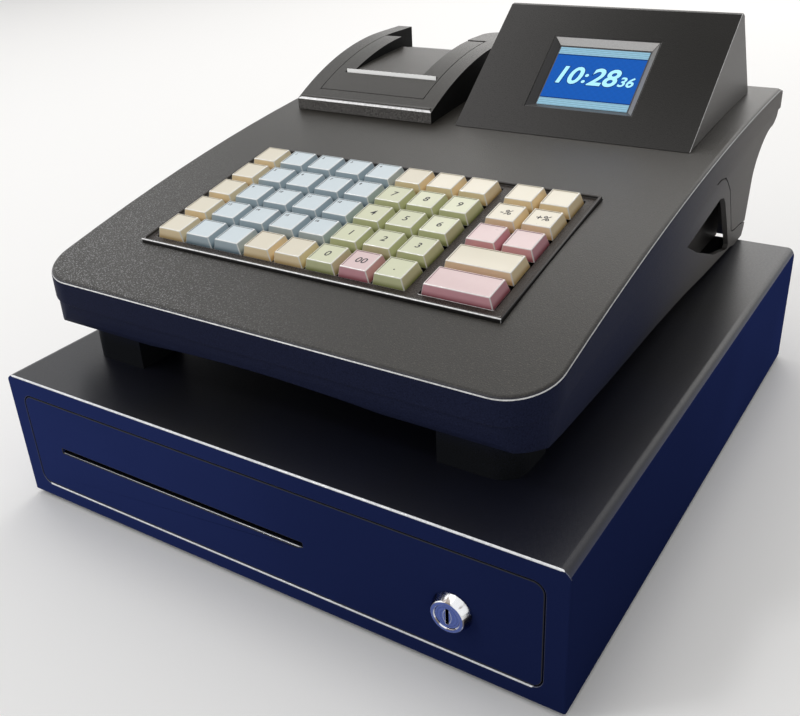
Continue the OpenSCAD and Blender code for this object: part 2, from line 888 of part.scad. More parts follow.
module key_0() {
  grey() key(col(5), row(4));
}

module key_00() {
  pink() key(col(6), row(4));
}

module key_dot() {
  grey() key(col(7), row(4));
}

module key_r1a() {
  yellow() key(rcol_x[0], row(0));
}

module key_r1b() {
  yellow() key(rcol_x[1], row(0));
}

module key_r2a() {
  yellow() key(rcol_x[0], row(1));
}

module key_r2b() {
  yellow() key(rcol_x[1], row(1));
}

module key_r3a() {
  pink() key(rcol_x[0], row(2));
}

module key_r3b() {
  pink() key(rcol_x[1], row(2));
}

module key_wide_upper() {
  yellow() wide_key(row(3));
}

module key_wide_front() {
  pink() wide_key(row(4));
}

module blue_row(j) {
  blue()
    for (i = [1:4])
      key(col(i), row(j));
}

module keys_blue_1() {
  blue_row(0);
}

module keys_blue_2() {
  blue_row(1);
}

module keys_blue_3() {
  blue_row(2);
}

module keys_blue_4() {
  blue_row(3);
}

module keys_front_mix() {
  blue()
    for (i = [1:4])
      key(col(i), row(4));
}

module keys_yellow() {
  yellow() {
    for (j = [0:4])
      key(col(0), row(j));
    for (i = [5:7])
      key(col(i), row(0));
  }
}

module key_board() color([0.10, 0.32, 0.16]) kp() {
  box(-kp_w / 2 + 1, kp_w / 2 - 1, -kp_l / 2 + 1, kp_l / 2 - 1, board_z - 1.6, board_z);
  for (x = [-kp_w / 2 + 4, kp_w / 2 - 4])
    for (y = [-kp_l / 2 + 4, kp_l / 2 - 4])
      zcyl(x, y, 5, board_z - 0.1, floor_z - floor_t, 24);
}

// everything under the cheeks' arc, lowered by o
module under_cheek(o, x0, x1, y0, y1) {
  intersection() {
    union() {
      xcyl(cheek_cy, cheek_cz, 2 * (cheek_r - o), x0, x1, 360);
      box(x0, x1, cheek_cy, y1 + 1, 0, cheek_cz + cheek_r - o);
    }
    box(x0, x1, y0, y1, 0, 200);
  }
}

module under_panel(o, x0, x1, y0, y1) {
  intersection() {
    xcyl(panel_cy, panel_cz, 2 * (panel_r - o), x0, x1, 720);
    box(x0, x1, y0, y1, 0, 200);
  }
}

// everything below the deck and the rear nose, raised by the seat
module deck_seat() {
  under_deck(-seat, 0, nose_cy);
  xcyl(nose_cy, nose_cz, 2 * (nose_r + seat), -rw - 5, rw + 5, 96);
  box(-rw - 5, rw + 5, nose_cy - 1, nose_y + 5, -5, nose_cz);
}

module shoulder(x0, x1, o) {
  r = shoulder_r;
  intersection() {
    under_cheek(o, x0, x1, lid_back + o, pr_y1 - o);
    union() {
      box(x0 - 1, x1 + 1, lid_back - 1, pr_y1 - r, 60, 130);
      box(x0 + r, x1 + 1, lid_back - 1, pr_y1 + 1, 60, 130);
      zcyl(x0 + r, pr_y1 - r, 2 * r, 60, 130, 64);
    }
  }
}

module printer_body() color([0.13, 0.14, 0.18]) reg() {
  cx0 = pr_x0 + cheek_t;
  cx1 = pr_x1 - cheek_t;
  difference() {
    union() {
      difference() {
        union() {
          under_cheek(0, pr_x0, cx0, pr_y0, pr_y1);
          under_cheek(0, cx1, pr_x1, pr_y0, pr_y1);
          under_cheek(0, pr_x0 + 1, pr_x1 - 1, pr_y0, lid_y0 - 0.8);
          box(pr_x0 + 2, pr_x1 - 2, pr_y0 + 2, lid_back + 1, 60, plate_z);
          xprism(pr_x0 + 2, pr_x1 - 2, [
            [lid_back, 60], [lid_back, hood_z], [pr_y1, hood_z - hood_drop], [pr_y1, 60]
          ]);
          shoulder(cx1 - shoulder_x, cx1 + 1, 0);
        }
        deck_seat();
        for (x = [pr_x0 + 2.5, cx1 + 2])
          under_cheek(2.5, x, x + cheek_t - 4.5, pr_y0 + 2.5, pr_y1 - 2.5);
        xprism(cx0 + 3, cx1 - 3, [
          [lid_back + 2.5, 60], [lid_back + 2.5, hood_z - 2.8],
          [pr_y1 - 2.5, hood_z - hood_drop - 2.5], [pr_y1 - 2.5, 60]
        ]);
      }
      box(well_x0, well_x1, well_y0, well_y1, well_z - well_t, plate_z);
    }
    // paper well
    box(well_x0 + well_t, well_x1 - well_t, well_y0 + well_t, well_y1 - well_t, well_z, plate_z + 1);
    for (x = [cx0 - 1, cx1 + 1])
      xcyl(hinge_y, hinge_z, pin_d + 2 * pin_gap, x - 1.8, x + 1.8);
  }
  for (s = [-1, 1])
    difference() {
      x = paper_c + s * (paper_w / 2 + 2.8);
      box(x - 1.4, x + 1.4, platen_y - 6, platen_y + 8, well_z - 1, platen_z + 4.4);
      xcyl(platen_y, platen_z, 3 + 2 * plug_gap, x - 3, x + 3);
    }
}

module printer_lid() color([0.13, 0.14, 0.18]) reg() {
  a0 = lid_x0 + arch_w;
  a1 = lid_x1 - arch_w;
  difference() {
    union() {
      difference() {
        under_cheek(0, lid_x0, lid_x1, lid_y0, lid_y1);
        under_cheek(lid_t, lid_x0 - 1, lid_x1 + 1, lid_y0 - 1, lid_y1 + 1);
        box(a0, a1, slit_y1 - 0.1, lid_y1 + 1, 90, 130);
      }
      difference() {
        under_panel(0, a0 - 2.2, a1 + 2.2, slit_y0 + 1, lid_y1);
        under_panel(lid_t, lid_x0, lid_x1, slit_y0 - 1, lid_y1 + 1);
      }
      for (x = [lid_x0, a0 - 2.2, a1, lid_x1 - 2.2])
        difference() {
          under_cheek(0.5, x, x + 2.2, slit_y1 + 1, lid_y1);
          box(x - 1, x + 3, slit_y1, lid_y1 + 1, 0, 108);
        }
      for (x = [lid_x0, a1]) {
        xcyl(hinge_y, hinge_z, 7, x, x + arch_w);
        xcyl(hinge_y, hinge_z, pin_d, x == lid_x0 ? x - 1.8 : x + 5, x == lid_x0 ? x + 5 : x + arch_w + 1.8);
      }
    }
    box(paper_c - paper_w / 2 - 0.8, paper_c + paper_w / 2 + 0.8, slit_y0, slit_y1, 90, 130);
  }
}

module platen_roller() color([0.05, 0.05, 0.05]) reg() {
  xcyl(platen_y, platen_z, platen_d, paper_c - paper_w / 2 - 0.3, paper_c + paper_w / 2 + 0.3);
  xcyl(platen_y, platen_z, 3, paper_c - paper_w / 2 - 3.9, paper_c + paper_w / 2 + 3.9);
}

module print_head() color([0.75, 0.75, 0.77]) reg() {
  half = paper_w / 2 + 1.3;
  box(paper_c - half, paper_c + half, paper_y - 3.2, paper_y - 0.1, platen_z - 6, platen_z + 3);
  box(paper_c - half + 2.8, paper_c + half - 2.8, paper_y - 7, paper_y - 3.1, platen_z - 12, platen_z - 1);
  box(paper_c - half + 5.8, paper_c + half - 5.8, well_y0 + well_t, paper_y - 3, platen_z - 10, platen_z - 6);
}

module tear_bar() color([0.8, 0.8, 0.82]) reg() {
  difference() {
    box(paper_c - 34, paper_c + 34, slit_y0 - 1.2, slit_y0 - 0.5, platen_z + 3, 105.9);
    for (i = [0:33])
      translate([paper_c - 33 + 2 * i, slit_y0 - 1, 106]) rotate([0, 45, 0])
        cube([0.9, 2, 0.9], center = true);
  }
}

module paper_roll() color([0.93, 0.93, 0.92]) reg() {
  difference() {
    xcyl(roll_y, roll_z, roll_d, paper_c - paper_w / 2, paper_c + paper_w / 2, 72);
    xcyl(roll_y, roll_z, 12, paper_c - paper_w / 2 - 1, paper_c + paper_w / 2 + 1);
  }
}

pl = [platen_y, platen_z];
rl = [roll_y, roll_z];
pr_ = platen_d / 2 + 0.1;
rr_ = roll_d / 2 + 0.1;
tl = norm(rl - pl);
ta = atan2(rl[1] - pl[1], rl[0] - pl[0]) - acos((pr_ - rr_) / tl);
function polar(c, r, a) = [c[0] + r * cos(a), c[1] + r * sin(a)];
exit_a = -180;
exit_l = 16.8;

module paper_strip() color([0.95, 0.95, 0.94]) reg() {
  n = 6;
  arc_a = [for (i = [0:n]) ta + (exit_a - ta) * i / n];
  inner = concat([polar(rl, rr_, ta)], [for (a = arc_a) polar(pl, pr_, a)]);
  outer = concat([polar(rl, rr_ + paper_t, ta)], [for (a = arc_a) polar(pl, pr_ + paper_t, a)]);
  tip = [0, exit_l];
  last_i = inner[n + 1];
  last_o = outer[n + 1];
  pts_i = concat(inner, [last_i + tip]);
  pts_o = concat([last_o + tip], [for (i = [n + 1:-1:0]) outer[i]]);
  xprism(paper_c - paper_w / 2, paper_c + paper_w / 2, concat(pts_i, pts_o));
}

// display wedge outline in the side view, shrunk by o
module wedge(o, x0, x1) {
  n = 3 * o;
  xprism(x0, x1, [
    [ds_y0 + 2.6 * o, 40 + o], [ds_y0 + 2.6 * o, ds_front_z - 0.4 + 0.6 * o],
    [ds_y0 + 2.8 * o, ds_front_z + 0.8 * o], [ds_top_y + 0.3 * o, ds_top_z - 1.0 * o],
    [ds_top_y + 3, ds_top_z + 0.4 - 1.2 * o], [ds_top_y + 6 - 0.6 * o, ds_top_z - 1.6 - 0.8 * o],
    [ds_top_y + 7.6 - 1.0 * o, ds_top_z - 5], [ds_y1 - 1.1 * o, deck_z(ds_y1) - 2],
    [ds_y1 - 1.1 * o, 40 + o]
  ]);
}

module display_case() color([0.16, 0.17, 0.21]) reg() {
  difference() {
    wedge(0, ds_x0, ds_x1);
    wedge(ds_t, ds_x0 + ds_t, ds_x1 - ds_t);
    under_deck(-seat, 0, nose_y);
    translate([0, ds_y0, ds_front_z]) rotate([ds_a, 0, 0])
      box(win_x, win_x + win_w, win_s, win_s + win_l, -8, 5);
  }
}

module display_frame() color([0.06, 0.06, 0.08]) ds() {
  g = 0.1;
  mx = (win_w - lcd_w) / 2;
  my = (win_l - lcd_l) / 2;
  difference() {
    union() {
      box(win_x + g, win_x + win_w - g, win_s + g, win_s + win_l - g, -4, -0.2);
      box(win_x - 3, win_x + win_w + 3, win_s - 3, win_s + win_l + 3, -5, -3.4);
    }
    translate([win_x + win_w / 2, win_s + win_l / 2, -3.4])
      frustum(lcd_w, lcd_l, win_w, win_l, 3.6);
    box(win_x + mx, win_x + win_w - mx, win_s + my, win_s + win_l - my, -6, -3);
  }
}

module screen_module() color([0.12, 0.37, 0.75]) ds() {
  cx = win_x + win_w / 2;
  cy = win_s + win_l / 2;
  box(cx - lcd_w / 2 - 5, cx + lcd_w / 2 + 5, cy - lcd_l / 2 - 3, cy + lcd_l / 2 + 3, -8.4, -5);
  box(cx - lcd_w / 2 + 0.1, cx + lcd_w / 2 - 0.1, cy - lcd_l / 2 + 0.1, cy + lcd_l / 2 - 0.1, -5.1, -3.6);
}

module main_board() color([0.08, 0.30, 0.14]) reg() {
  z = tub_z + tub_t + 5;
  box(-90, 100, 40, 172, z, z + 1.6);
  for (x = [-84, 94])
    for (y = [46, 166])
      zcyl(x, y, 6, z - 5, z + 0.1, 24);
  box(-20, 4, 90, 114, z + 1.5, z + 4);
  box(20, 36, 70, 100, z + 1.5, z + 4.5);
  box(60, 76, 120, 136, z + 1.5, z + 16);
}

module port_plate() color([0.7, 0.7, 0.72]) reg() {
  difference() {
    union() {
      box(-101.6, -38.4, tub_y1 - 2.6, wall_y - 0.4, 28.4, 49.6);
      box(-106, -34, tub_y1 - 4.6, tub_y1 - 2.6, 26, 52);
    }
    ycyl(-92, 39, 9, wall_y - 9, wall_y + 1, 32);
    box(-82, -68, wall_y - 9, wall_y + 1, 33, 45);
    box(-63, -47, wall_y - 9, wall_y + 1, 34, 46);
  }
  ycyl(-92, 39, 2.5, wall_y - 10, wall_y - 1, 24);
}

module power_rocker() color([0.05, 0.05, 0.06]) reg() {
  zc = 37;
  xc = 75;
  intersection() {
    xcyl2(xc, zc, 34);
    box(xc - 12, xc + 12, wall_y - 14, wall_y + 2.4, zc - 7.2, zc + 7.2);
  }
}

module xcyl2(xc, zc, d) {
  translate([xc, wall_y - 14, zc - 7.2]) cylinder(d = d, h = 14.4, $fn = 64);
}

drawer_housing();
drawer_base();
drawer_feet();
drawer_rails();
drawer_front();
drawer_box();
till_insert();
note_clip_1();
note_clip_2();
note_clip_3();
note_clip_4();
lock_bezel();
lock_plug();
drawer_latch();
release_solenoid();
ejector_spring();
lower_case();
upper_case();
case_screws();
keypad_bezel();
key_board();
printer_body();
printer_lid();
platen_roller();
print_head();
tear_bar();
paper_roll();
paper_strip();
display_case();
display_frame();
screen_module();
main_board();
port_plate();
power_rocker();
key_0();
key_1();
key_2();
key_3();
key_4();
key_5();
key_6();
key_7();
key_8();
key_9();
key_00();
key_dot();
key_r1a();
key_r1b();
key_r2a();
key_r2b();
key_r3a();
key_r3b();
key_wide_upper();
key_wide_front();
keys_blue_1();
keys_blue_2();
keys_blue_3();
keys_blue_4();
keys_front_mix();
keys_yellow();
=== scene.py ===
"""Finishes and detail pieces for a cash register standing on its cash drawer."""

import json
import math

import bpy
from mathutils import Matrix, Vector


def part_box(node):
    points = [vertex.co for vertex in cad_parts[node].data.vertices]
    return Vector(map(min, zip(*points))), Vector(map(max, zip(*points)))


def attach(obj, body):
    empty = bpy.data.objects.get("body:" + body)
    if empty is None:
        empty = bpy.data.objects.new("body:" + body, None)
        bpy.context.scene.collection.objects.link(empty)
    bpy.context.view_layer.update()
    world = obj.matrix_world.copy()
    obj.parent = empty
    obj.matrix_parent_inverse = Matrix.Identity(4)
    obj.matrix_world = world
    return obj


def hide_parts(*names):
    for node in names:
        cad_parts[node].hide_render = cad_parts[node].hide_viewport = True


bl_info = {
    "name": "Counter Register",
    "version": (1, 0, 0),
    "blender": (4, 5, 0),
    "location": "View3D > Sidebar > Register",
    "description": "Finishes and detail pieces for a cash register on its cash drawer",
    "category": "Object",
}

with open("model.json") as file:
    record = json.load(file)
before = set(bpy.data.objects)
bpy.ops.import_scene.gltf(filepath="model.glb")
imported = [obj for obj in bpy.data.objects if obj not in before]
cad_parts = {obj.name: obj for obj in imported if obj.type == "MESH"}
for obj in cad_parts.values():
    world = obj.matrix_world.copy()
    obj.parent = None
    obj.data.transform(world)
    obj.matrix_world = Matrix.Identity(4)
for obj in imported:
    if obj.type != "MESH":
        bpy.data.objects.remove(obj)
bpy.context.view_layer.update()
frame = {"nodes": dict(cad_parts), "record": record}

MM = 0.001
UP = Vector((0, 0, 1))

# ---------------------------------------------------------------- places on the frame

CASE_X = -9.0 * MM
PAD_TILT = math.radians(10.49)
PAD_ORIGIN = Vector((-7.9, -66.25, 149.5)) * MM
PAD_MATRIX = Matrix.Translation(PAD_ORIGIN) @ Matrix.Rotation(PAD_TILT, 4, "X")
PAD_NORMAL = (PAD_MATRIX.to_3x3() @ UP).normalized()
SCREEN_TILT = math.radians(37.81)
SCREEN_ORIGIN = Vector((-9.0, 55.5, 168.26)) * MM
SCREEN_MATRIX = Matrix.Translation(SCREEN_ORIGIN) @ Matrix.Rotation(SCREEN_TILT, 4, "X")
KEY_PITCH = (19.8 * MM, 20.8 * MM)
KEY_FIRST = (-93.2 * MM, 42.3 * MM)
KEY_TOP = 6.1 * MM
LOCK_CENTRE = Vector((112.0, -189.5, 36.0)) * MM
FRONT_Y = LOCK_CENTRE.y

# Heights between which a ledge's front edge lies, and the width of its chamfer, which takes a painted
# highlight
HOUSING_LEDGES = ((0.004, 0.016, 0.0006), (0.070, 0.082, 0.0008))
SLOT_LEDGE = (0.0365, 0.0405, 0.0006)
# Height of the painted shadow line along the foot of the drawer front
FOOT_SHADE = 0.0009
LIP_DEPTH = 0.0016
# Edges take their painted highlight right of this on the display case, and in front of this on the keypad
# bezel
DISPLAY_LIT_X = 0.075
BEZEL_LIT_Y = -0.050

# The deck's outer edge lies beyond these, across and lengthwise
DECK_HALF_WIDTH = 0.130
DECK_HALF_LENGTH = 0.150

# A key top's rim, the slope and depth of its dish, and how deep its numerals stand
KEY_RIM = 0.0003
DISH_SLOPE = 0.00016
DISH_DEPTH = 0.00026
MARK_DEPTH = 0.00025
MARK_THICKNESS = 0.00005

BLACK = (0.0, 0.0, 0.0)
LOW_SIDE = (0.0120, 0.0130, 0.0150)
GRAIN_DEPTH = 0.00030

PAPER_CUT = 1.3 * MM
PAPER_STEPS = 60

# The materials of a rounded piece, in order
FACE, EDGE, UPRIGHT, LINE = range(4)
UPRIGHT_BELOW = 0.5


# ---------------------------------------------------------------- settings


class CameraSettings(bpy.types.PropertyGroup):
    place: bpy.props.FloatVectorProperty(
        name="Place", description="Where the camera stands", subtype="XYZ", unit="LENGTH",
        size=3, precision=4, default=(0.26949, -0.45707, 0.32496))
    forward: bpy.props.FloatVectorProperty(
        name="Forward", description="Direction the camera looks in", subtype="DIRECTION",
        size=3, precision=4, default=(-0.487389, 0.733857, -0.473186))
    right: bpy.props.FloatVectorProperty(
        name="Right", description="Direction of the picture's right edge", subtype="DIRECTION",
        size=3, precision=4, default=(0.84482, 0.533315, -0.043067))
    lens: bpy.props.FloatProperty(
        name="Lens", description="Focal length on a 36 mm wide sensor", unit="CAMERA",
        min=10, max=200, default=43.55)


class CaseSettings(bpy.types.PropertyGroup):
    top_colour: bpy.props.FloatVectorProperty(
        name="Top colour", description="Black of the faces that look up, under their sheen", subtype="COLOR",
        size=3, min=0, max=1, default=(0.020, 0.018, 0.015))
    # The blue-black of the upright faces is a painted blue reflection on black plastic.
    side_colour: bpy.props.FloatVectorProperty(
        name="Side colour", description="Blue-black of the upright faces", subtype="COLOR",
        size=3, min=0, max=1, default=(0.0120, 0.0150, 0.0365))
    # The grey of the upright faces towards the rear is painted light.
    rear_colour: bpy.props.FloatVectorProperty(
        name="Rear colour", description="Grey of the upright faces towards the rear", subtype="COLOR",
        size=3, min=0, max=1, default=(0.150, 0.143, 0.137))
    edge: bpy.props.FloatProperty(
        name="Edge", description="Width of the softened moulded edges", unit="LENGTH",
        min=0.0001, max=0.002, default=0.0007)
    deck_edge: bpy.props.FloatProperty(
        name="Deck edge", description="Rounding of the deck's outer edge", unit="LENGTH",
        min=0.0005, max=0.004, default=0.0024)


class DrawerSettings(bpy.types.PropertyGroup):
    # The navy of the drawer's upright faces is a painted blue reflection on black steel.
    front_colour: bpy.props.FloatVectorProperty(
        name="Front colour", description="Navy of the drawer's upright faces", subtype="COLOR",
        size=3, min=0, max=1, default=(0.0118, 0.0188, 0.0730))
    top_colour: bpy.props.FloatVectorProperty(
        name="Top colour", description="Grey-black of the drawer's top", subtype="COLOR",
        size=3, min=0, max=1, default=(0.008, 0.008, 0.009))


class KeySettings(bpy.types.PropertyGroup):
    blue: bpy.props.FloatVectorProperty(
        name="Blue", description="Top of the item keys", subtype="COLOR",
        size=3, min=0, max=1, default=(0.60, 0.69, 0.74))
    blue_side: bpy.props.FloatVectorProperty(
        name="Blue sides", description="Insert seen through the item keys' sides", subtype="COLOR",
        size=3, min=0, max=1, default=(0.42, 0.51, 0.56))
    yellow: bpy.props.FloatVectorProperty(
        name="Yellow", description="Top of the function keys", subtype="COLOR",
        size=3, min=0, max=1, default=(0.71, 0.66, 0.53))
    yellow_side: bpy.props.FloatVectorProperty(
        name="Yellow sides", description="Insert seen through the function keys' sides", subtype="COLOR",
        size=3, min=0, max=1, default=(0.86, 0.70, 0.44))
    green: bpy.props.FloatVectorProperty(
        name="Green", description="Top of the number keys", subtype="COLOR",
        size=3, min=0, max=1, default=(0.62, 0.64, 0.44))
    green_side: bpy.props.FloatVectorProperty(
        name="Green sides", description="Insert seen through the number keys' sides", subtype="COLOR",
        size=3, min=0, max=1, default=(0.58, 0.60, 0.34))
    pink: bpy.props.FloatVectorProperty(
        name="Pink", description="Top of the double zero and total keys", subtype="COLOR",
        size=3, min=0, max=1, default=(0.70, 0.53, 0.53))
    pink_side: bpy.props.FloatVectorProperty(
        name="Pink sides", description="Insert seen through the pink keys' sides", subtype="COLOR",
        size=3, min=0, max=1, default=(0.66, 0.33, 0.37))
    edge: bpy.props.FloatProperty(
        name="Edge", description="Width of a cap's rounded edges", unit="LENGTH",
        min=0.0001, max=0.002, default=0.00045)
    numeral: bpy.props.FloatProperty(
        name="Numeral", description="Height of the numerals", unit="LENGTH",
        min=0.001, max=0.012, default=0.0062)


class ScreenSettings(bpy.types.PropertyGroup):
    field: bpy.props.FloatVectorProperty(
        name="Field", description="Blue field of the picture", subtype="COLOR",
        size=3, min=0, max=1, default=(0.003, 0.085, 0.40))
    bar: bpy.props.FloatVectorProperty(
        name="Bars", description="Pale bars above and below the field", subtype="COLOR",
        size=3, min=0, max=1, default=(0.26, 0.47, 0.60))
    digit: bpy.props.FloatVectorProperty(
        name="Digits", description="Clock digits", subtype="COLOR",
        size=3, min=0, max=1, default=(0.40, 0.80, 0.98))
    hours: bpy.props.StringProperty(name="Hours", description="First pair of clock digits", default="10")
    minutes: bpy.props.StringProperty(name="Minutes", description="Second pair of clock digits", default="28")
    seconds: bpy.props.StringProperty(name="Seconds", description="Small pair of clock digits", default="36")


# ---------------------------------------------------------------- shader maths


class Field:
    """A shader socket that takes part in Python arithmetic."""

    def __init__(self, paint, socket):
        self.paint = paint
        self.socket = socket

    def math(self, operation, *others, swap=False):
        values = [self, *others]
        if swap:
            values.reverse()
        return self.paint.add("ShaderNodeMath", {"operation": operation}, dict(enumerate(values)))

    def __add__(self, other):
        return self.math("ADD", other)

    __radd__ = __add__

    def __sub__(self, other):
        return self.math("SUBTRACT", other)

    def __rsub__(self, other):
        return self.math("SUBTRACT", other, swap=True)

    def __mul__(self, other):
        return self.math("MULTIPLY", other)

    def __truediv__(self, other):
        return self.math("DIVIDE", other)

    def fade(self, low, high):
        """0 below low, 1 above high, smooth between."""
        settings = {"interpolation_type": "SMOOTHSTEP"}
        return self.paint.add("ShaderNodeMapRange", settings, {0: self, 1: low, 2: high, 3: 0.0, 4: 1.0})


class Paint:
    """One material under construction."""

    def __init__(self, name, **constants):
        self.material = bpy.data.materials.new(name)
        self.material.use_nodes = True
        self.tree = self.material.node_tree
        self.tree.nodes.clear()
        self.shader = self.tree.nodes.new("ShaderNodeBsdfPrincipled")
        output = self.tree.nodes.new("ShaderNodeOutputMaterial")
        self.tree.links.new(self.shader.outputs[0], output.inputs[0])
        for label, value in constants.items():
            self.set(label.replace("_", " "), value)

    def plug(self, socket, value):
        if isinstance(value, Field):
            self.tree.links.new(value.socket, socket)
        elif isinstance(value, (tuple, list, Vector)) and len(value) == 3 and socket.type == "RGBA":
            socket.default_value = (*value, 1.0)
        else:
            socket.default_value = value

    def set(self, label, value):
        self.plug(self.shader.inputs[label], value)

    def add(self, kind, settings=None, values=None, out=0):
        node = self.tree.nodes.new(kind)
        for label, value in (settings or {}).items():
            setattr(node, label, value)
        for key, value in (values or {}).items():
            self.plug(node.inputs[key], value)
        return Field(self, node.outputs[out])

    def place(self):
        return self.add("ShaderNodeTexCoord", out="Object")

    def vector(self, operation, *values, out=0):
        values = [value if isinstance(value, Field) else tuple(value) for value in values]
        return self.add("ShaderNodeVectorMath", {"operation": operation}, dict(enumerate(values)), out)

    def normal_along(self, direction):
        normal = self.add("ShaderNodeTexCoord", out="Normal")
        return self.vector("DOT_PRODUCT", normal, direction, out="Value")

    def place_along(self, direction, origin=(0, 0, 0)):
        shifted = self.vector("SUBTRACT", self.place(), origin)
        return self.vector("DOT_PRODUCT", shifted, direction, out="Value")

    def distance(self, origin, stretch=(1, 1, 1)):
        """How far the place is from the origin, with each axis stretched first."""
        shifted = self.vector("SUBTRACT", self.place(), origin)
        return self.vector("LENGTH", self.vector("MULTIPLY", shifted, stretch), out="Value")

    def noise(self, scale, detail, rough=0.5, stretch=(1, 1, 1)):
        vector = self.add("ShaderNodeMapping", None, {"Vector": self.place(), "Scale": stretch})
        values = {"Vector": vector, "Scale": scale, "Detail": detail, "Roughness": rough}
        return self.add("ShaderNodeTexNoise", None, values)

    def cells(self, scale):
        values = {"Vector": self.place(), "Scale": scale}
        return self.add("ShaderNodeTexVoronoi", None, values, out="Distance")

    def mix(self, factor, first, second):
        return self.add("ShaderNodeMix", {"data_type": "RGBA"}, {0: factor, 6: first, 7: second}, out=2)

    def bump(self, height, distance, strength):
        values = {"Strength": strength, "Distance": distance, "Height": height}
        return self.add("ShaderNodeBump", None, values)


def times(colour, factor):
    return tuple(min(1.0, c * factor) for c in colour)


def towards(colour, other, share):
    return tuple(a + (b - a) * share for a, b in zip(colour, other))


def spark_eroded(paint, rough, grain=1.0):
    """Gives a paint the grain of a spark-eroded mould, and returns its pits and how deep they are."""
    fine = paint.noise(2400, 3, 0.65)
    pits = paint.noise(1500, 2, 0.6)
    paint.set("Roughness", rough + (pits - 0.5) * 0.4)
    paint.set("Normal", paint.bump(fine * 0.35 + pits * 0.65, GRAIN_DEPTH * grain, 0.7))
    return pits, (1 - pits.fade(0.32, 0.50)) * 0.3


def moulded_plastic(name, top, side, sheen, rough=0.36, grain=1.0, rear=None):
    """Spark-eroded plastic, with one colour on top and another where it stands: on the case a painted
    blue reflection, on the bezel painted shade. With rear, the upright faces turn to that colour
    towards the rear as painted light, and are dark near the drawer. Pale specks and glints in the
    grain are painted highlights."""
    paint = Paint(name, IOR=1.45, Specular_IOR_Level=sheen)
    pits, deep = spark_eroded(paint, rough, grain)
    broad = paint.noise(9, 2)
    facing = paint.normal_along(UP).fade(0.35, 0.9)
    if rear:
        # Upright faces grey towards the rear: painted light.
        along = paint.place_along((0, 1, 0)).fade(-0.07, 0.16)
        side = paint.mix(paint.place_along(UP).fade(0.088, 0.108), LOW_SIDE, side)
        side = paint.mix(along, side, rear)
    # Upright faces take the side colour: on the case a painted blue reflection, on the bezel painted shade.
    colour = paint.mix(facing, side, top)
    colour = paint.mix(broad.fade(0.3, 0.7) * 0.3 * facing, colour, times(top, 0.4))
    colour = paint.mix(deep, colour, BLACK)
    # Pale specks in the grain, most on faces that look up: painted highlights.
    painted_sparkle = pits.fade(0.56, 0.68) * (0.25 + facing * 0.75)
    colour = paint.mix(painted_sparkle * 0.45 * grain, colour, times(top, 5.0))
    # Glints in the grain towards the front left: painted highlights of a lamp.
    painted_glint_zone = paint.place_along((-0.65, -0.76, 0)).fade(0.07, 0.23) * facing
    painted_glints = paint.noise(1300, 1, 0.5).fade(0.54, 0.66)
    colour = paint.mix(painted_glints * painted_glint_zone * 0.6 * grain, colour, (0.36, 0.36, 0.37))
    paint.set("Base Color", colour)
    return paint.material


def powder_coat(name, top, side, sheen, rough):
    """Fine powder coat on sheet steel, with a painted blue reflection on its upright faces."""
    paint = Paint(name, IOR=1.45, Specular_IOR_Level=sheen)
    fine = paint.noise(3200, 2)
    orange_peel = paint.noise(700, 2)
    broad = paint.noise(7, 2)
    facing = paint.normal_along(UP).fade(0.3, 0.9)
    # Upright faces lighter away from the front right corner: painted light.
    painted_falloff = paint.distance((0.19, -0.19, 0.0)).fade(0.0, 0.40)
    colour = paint.mix(facing, paint.mix(painted_falloff, times(side, 0.8), times(side, 1.6)), top)
    colour = paint.mix(fine.fade(0.58, 0.75) * 0.2, colour, times(side, 1.8))
    colour = paint.mix(broad.fade(0.35, 0.7) * 0.2, colour, times(side, 0.5))
    paint.set("Base Color", colour)
    paint.set("Roughness", rough + (orange_peel - 0.5) * 0.18)
    paint.set("Normal", paint.bump(fine * 0.5 + orange_peel * 0.5, 0.00008, 0.5))
    return paint.material


def bright_edge(name, dull, bright, rough=0.2, along=(0, -0.55, 0.83)):
    """A thin edge with a painted highlight, brightest where it looks up and forward, dulled in patches."""
    paint = Paint(name, Specular_IOR_Level=0.3, Coat_Roughness=0.1)
    highlight_patches = paint.noise(600, 2)
    facing = paint.normal_along(along).fade(0.35, 0.9)
    paint.set("Coat Weight", facing * 0.8)
    # The bright colour is a painted highlight where the edge faces along the given direction.
    colour = paint.mix(facing, dull, bright)
    # Noise dulls the painted highlight in patches.
    paint.set("Base Color", paint.mix(highlight_patches.fade(0.35, 0.75) * 0.35, colour, dull))
    paint.set("Roughness", rough + (highlight_patches - 0.5) * 0.1)
    return paint.material


def plain_plastic(name, colour, rough):
    paint = Paint(name, Specular_IOR_Level=0.4)
    fine = paint.noise(1800, 2)
    paint.set("Base Color", paint.mix(fine, times(colour, 0.85), times(colour, 1.15)))
    paint.set("Roughness", rough + (fine - 0.5) * 0.15)
    paint.set("Normal", paint.bump(fine, 0.00004, 0.4))
    return paint.material


def metal(name, colour, rough, stretch=(1, 1, 1), scale=900):
    paint = Paint(name, Metallic=1.0)
    brushed = paint.noise(scale, 3, 0.6, stretch)
    paint.set("Base Color", paint.mix(brushed, times(colour, 0.85), colour))
    paint.set("Roughness", rough + (brushed - 0.5) * 0.2)
    paint.set("Normal", paint.bump(brushed, 0.00003, 0.35))
    return paint.material


def zinc_plate(name, colour):
    paint = Paint(name, Metallic=1.0)
    spangle = paint.cells(160)
    fine = paint.noise(1500, 2)
    paint.set("Base Color", paint.mix(spangle.fade(0.1, 0.8), times(colour, 0.8), colour))
    paint.set("Roughness", 0.36 + (fine - 0.5) * 0.2)
    return paint.material


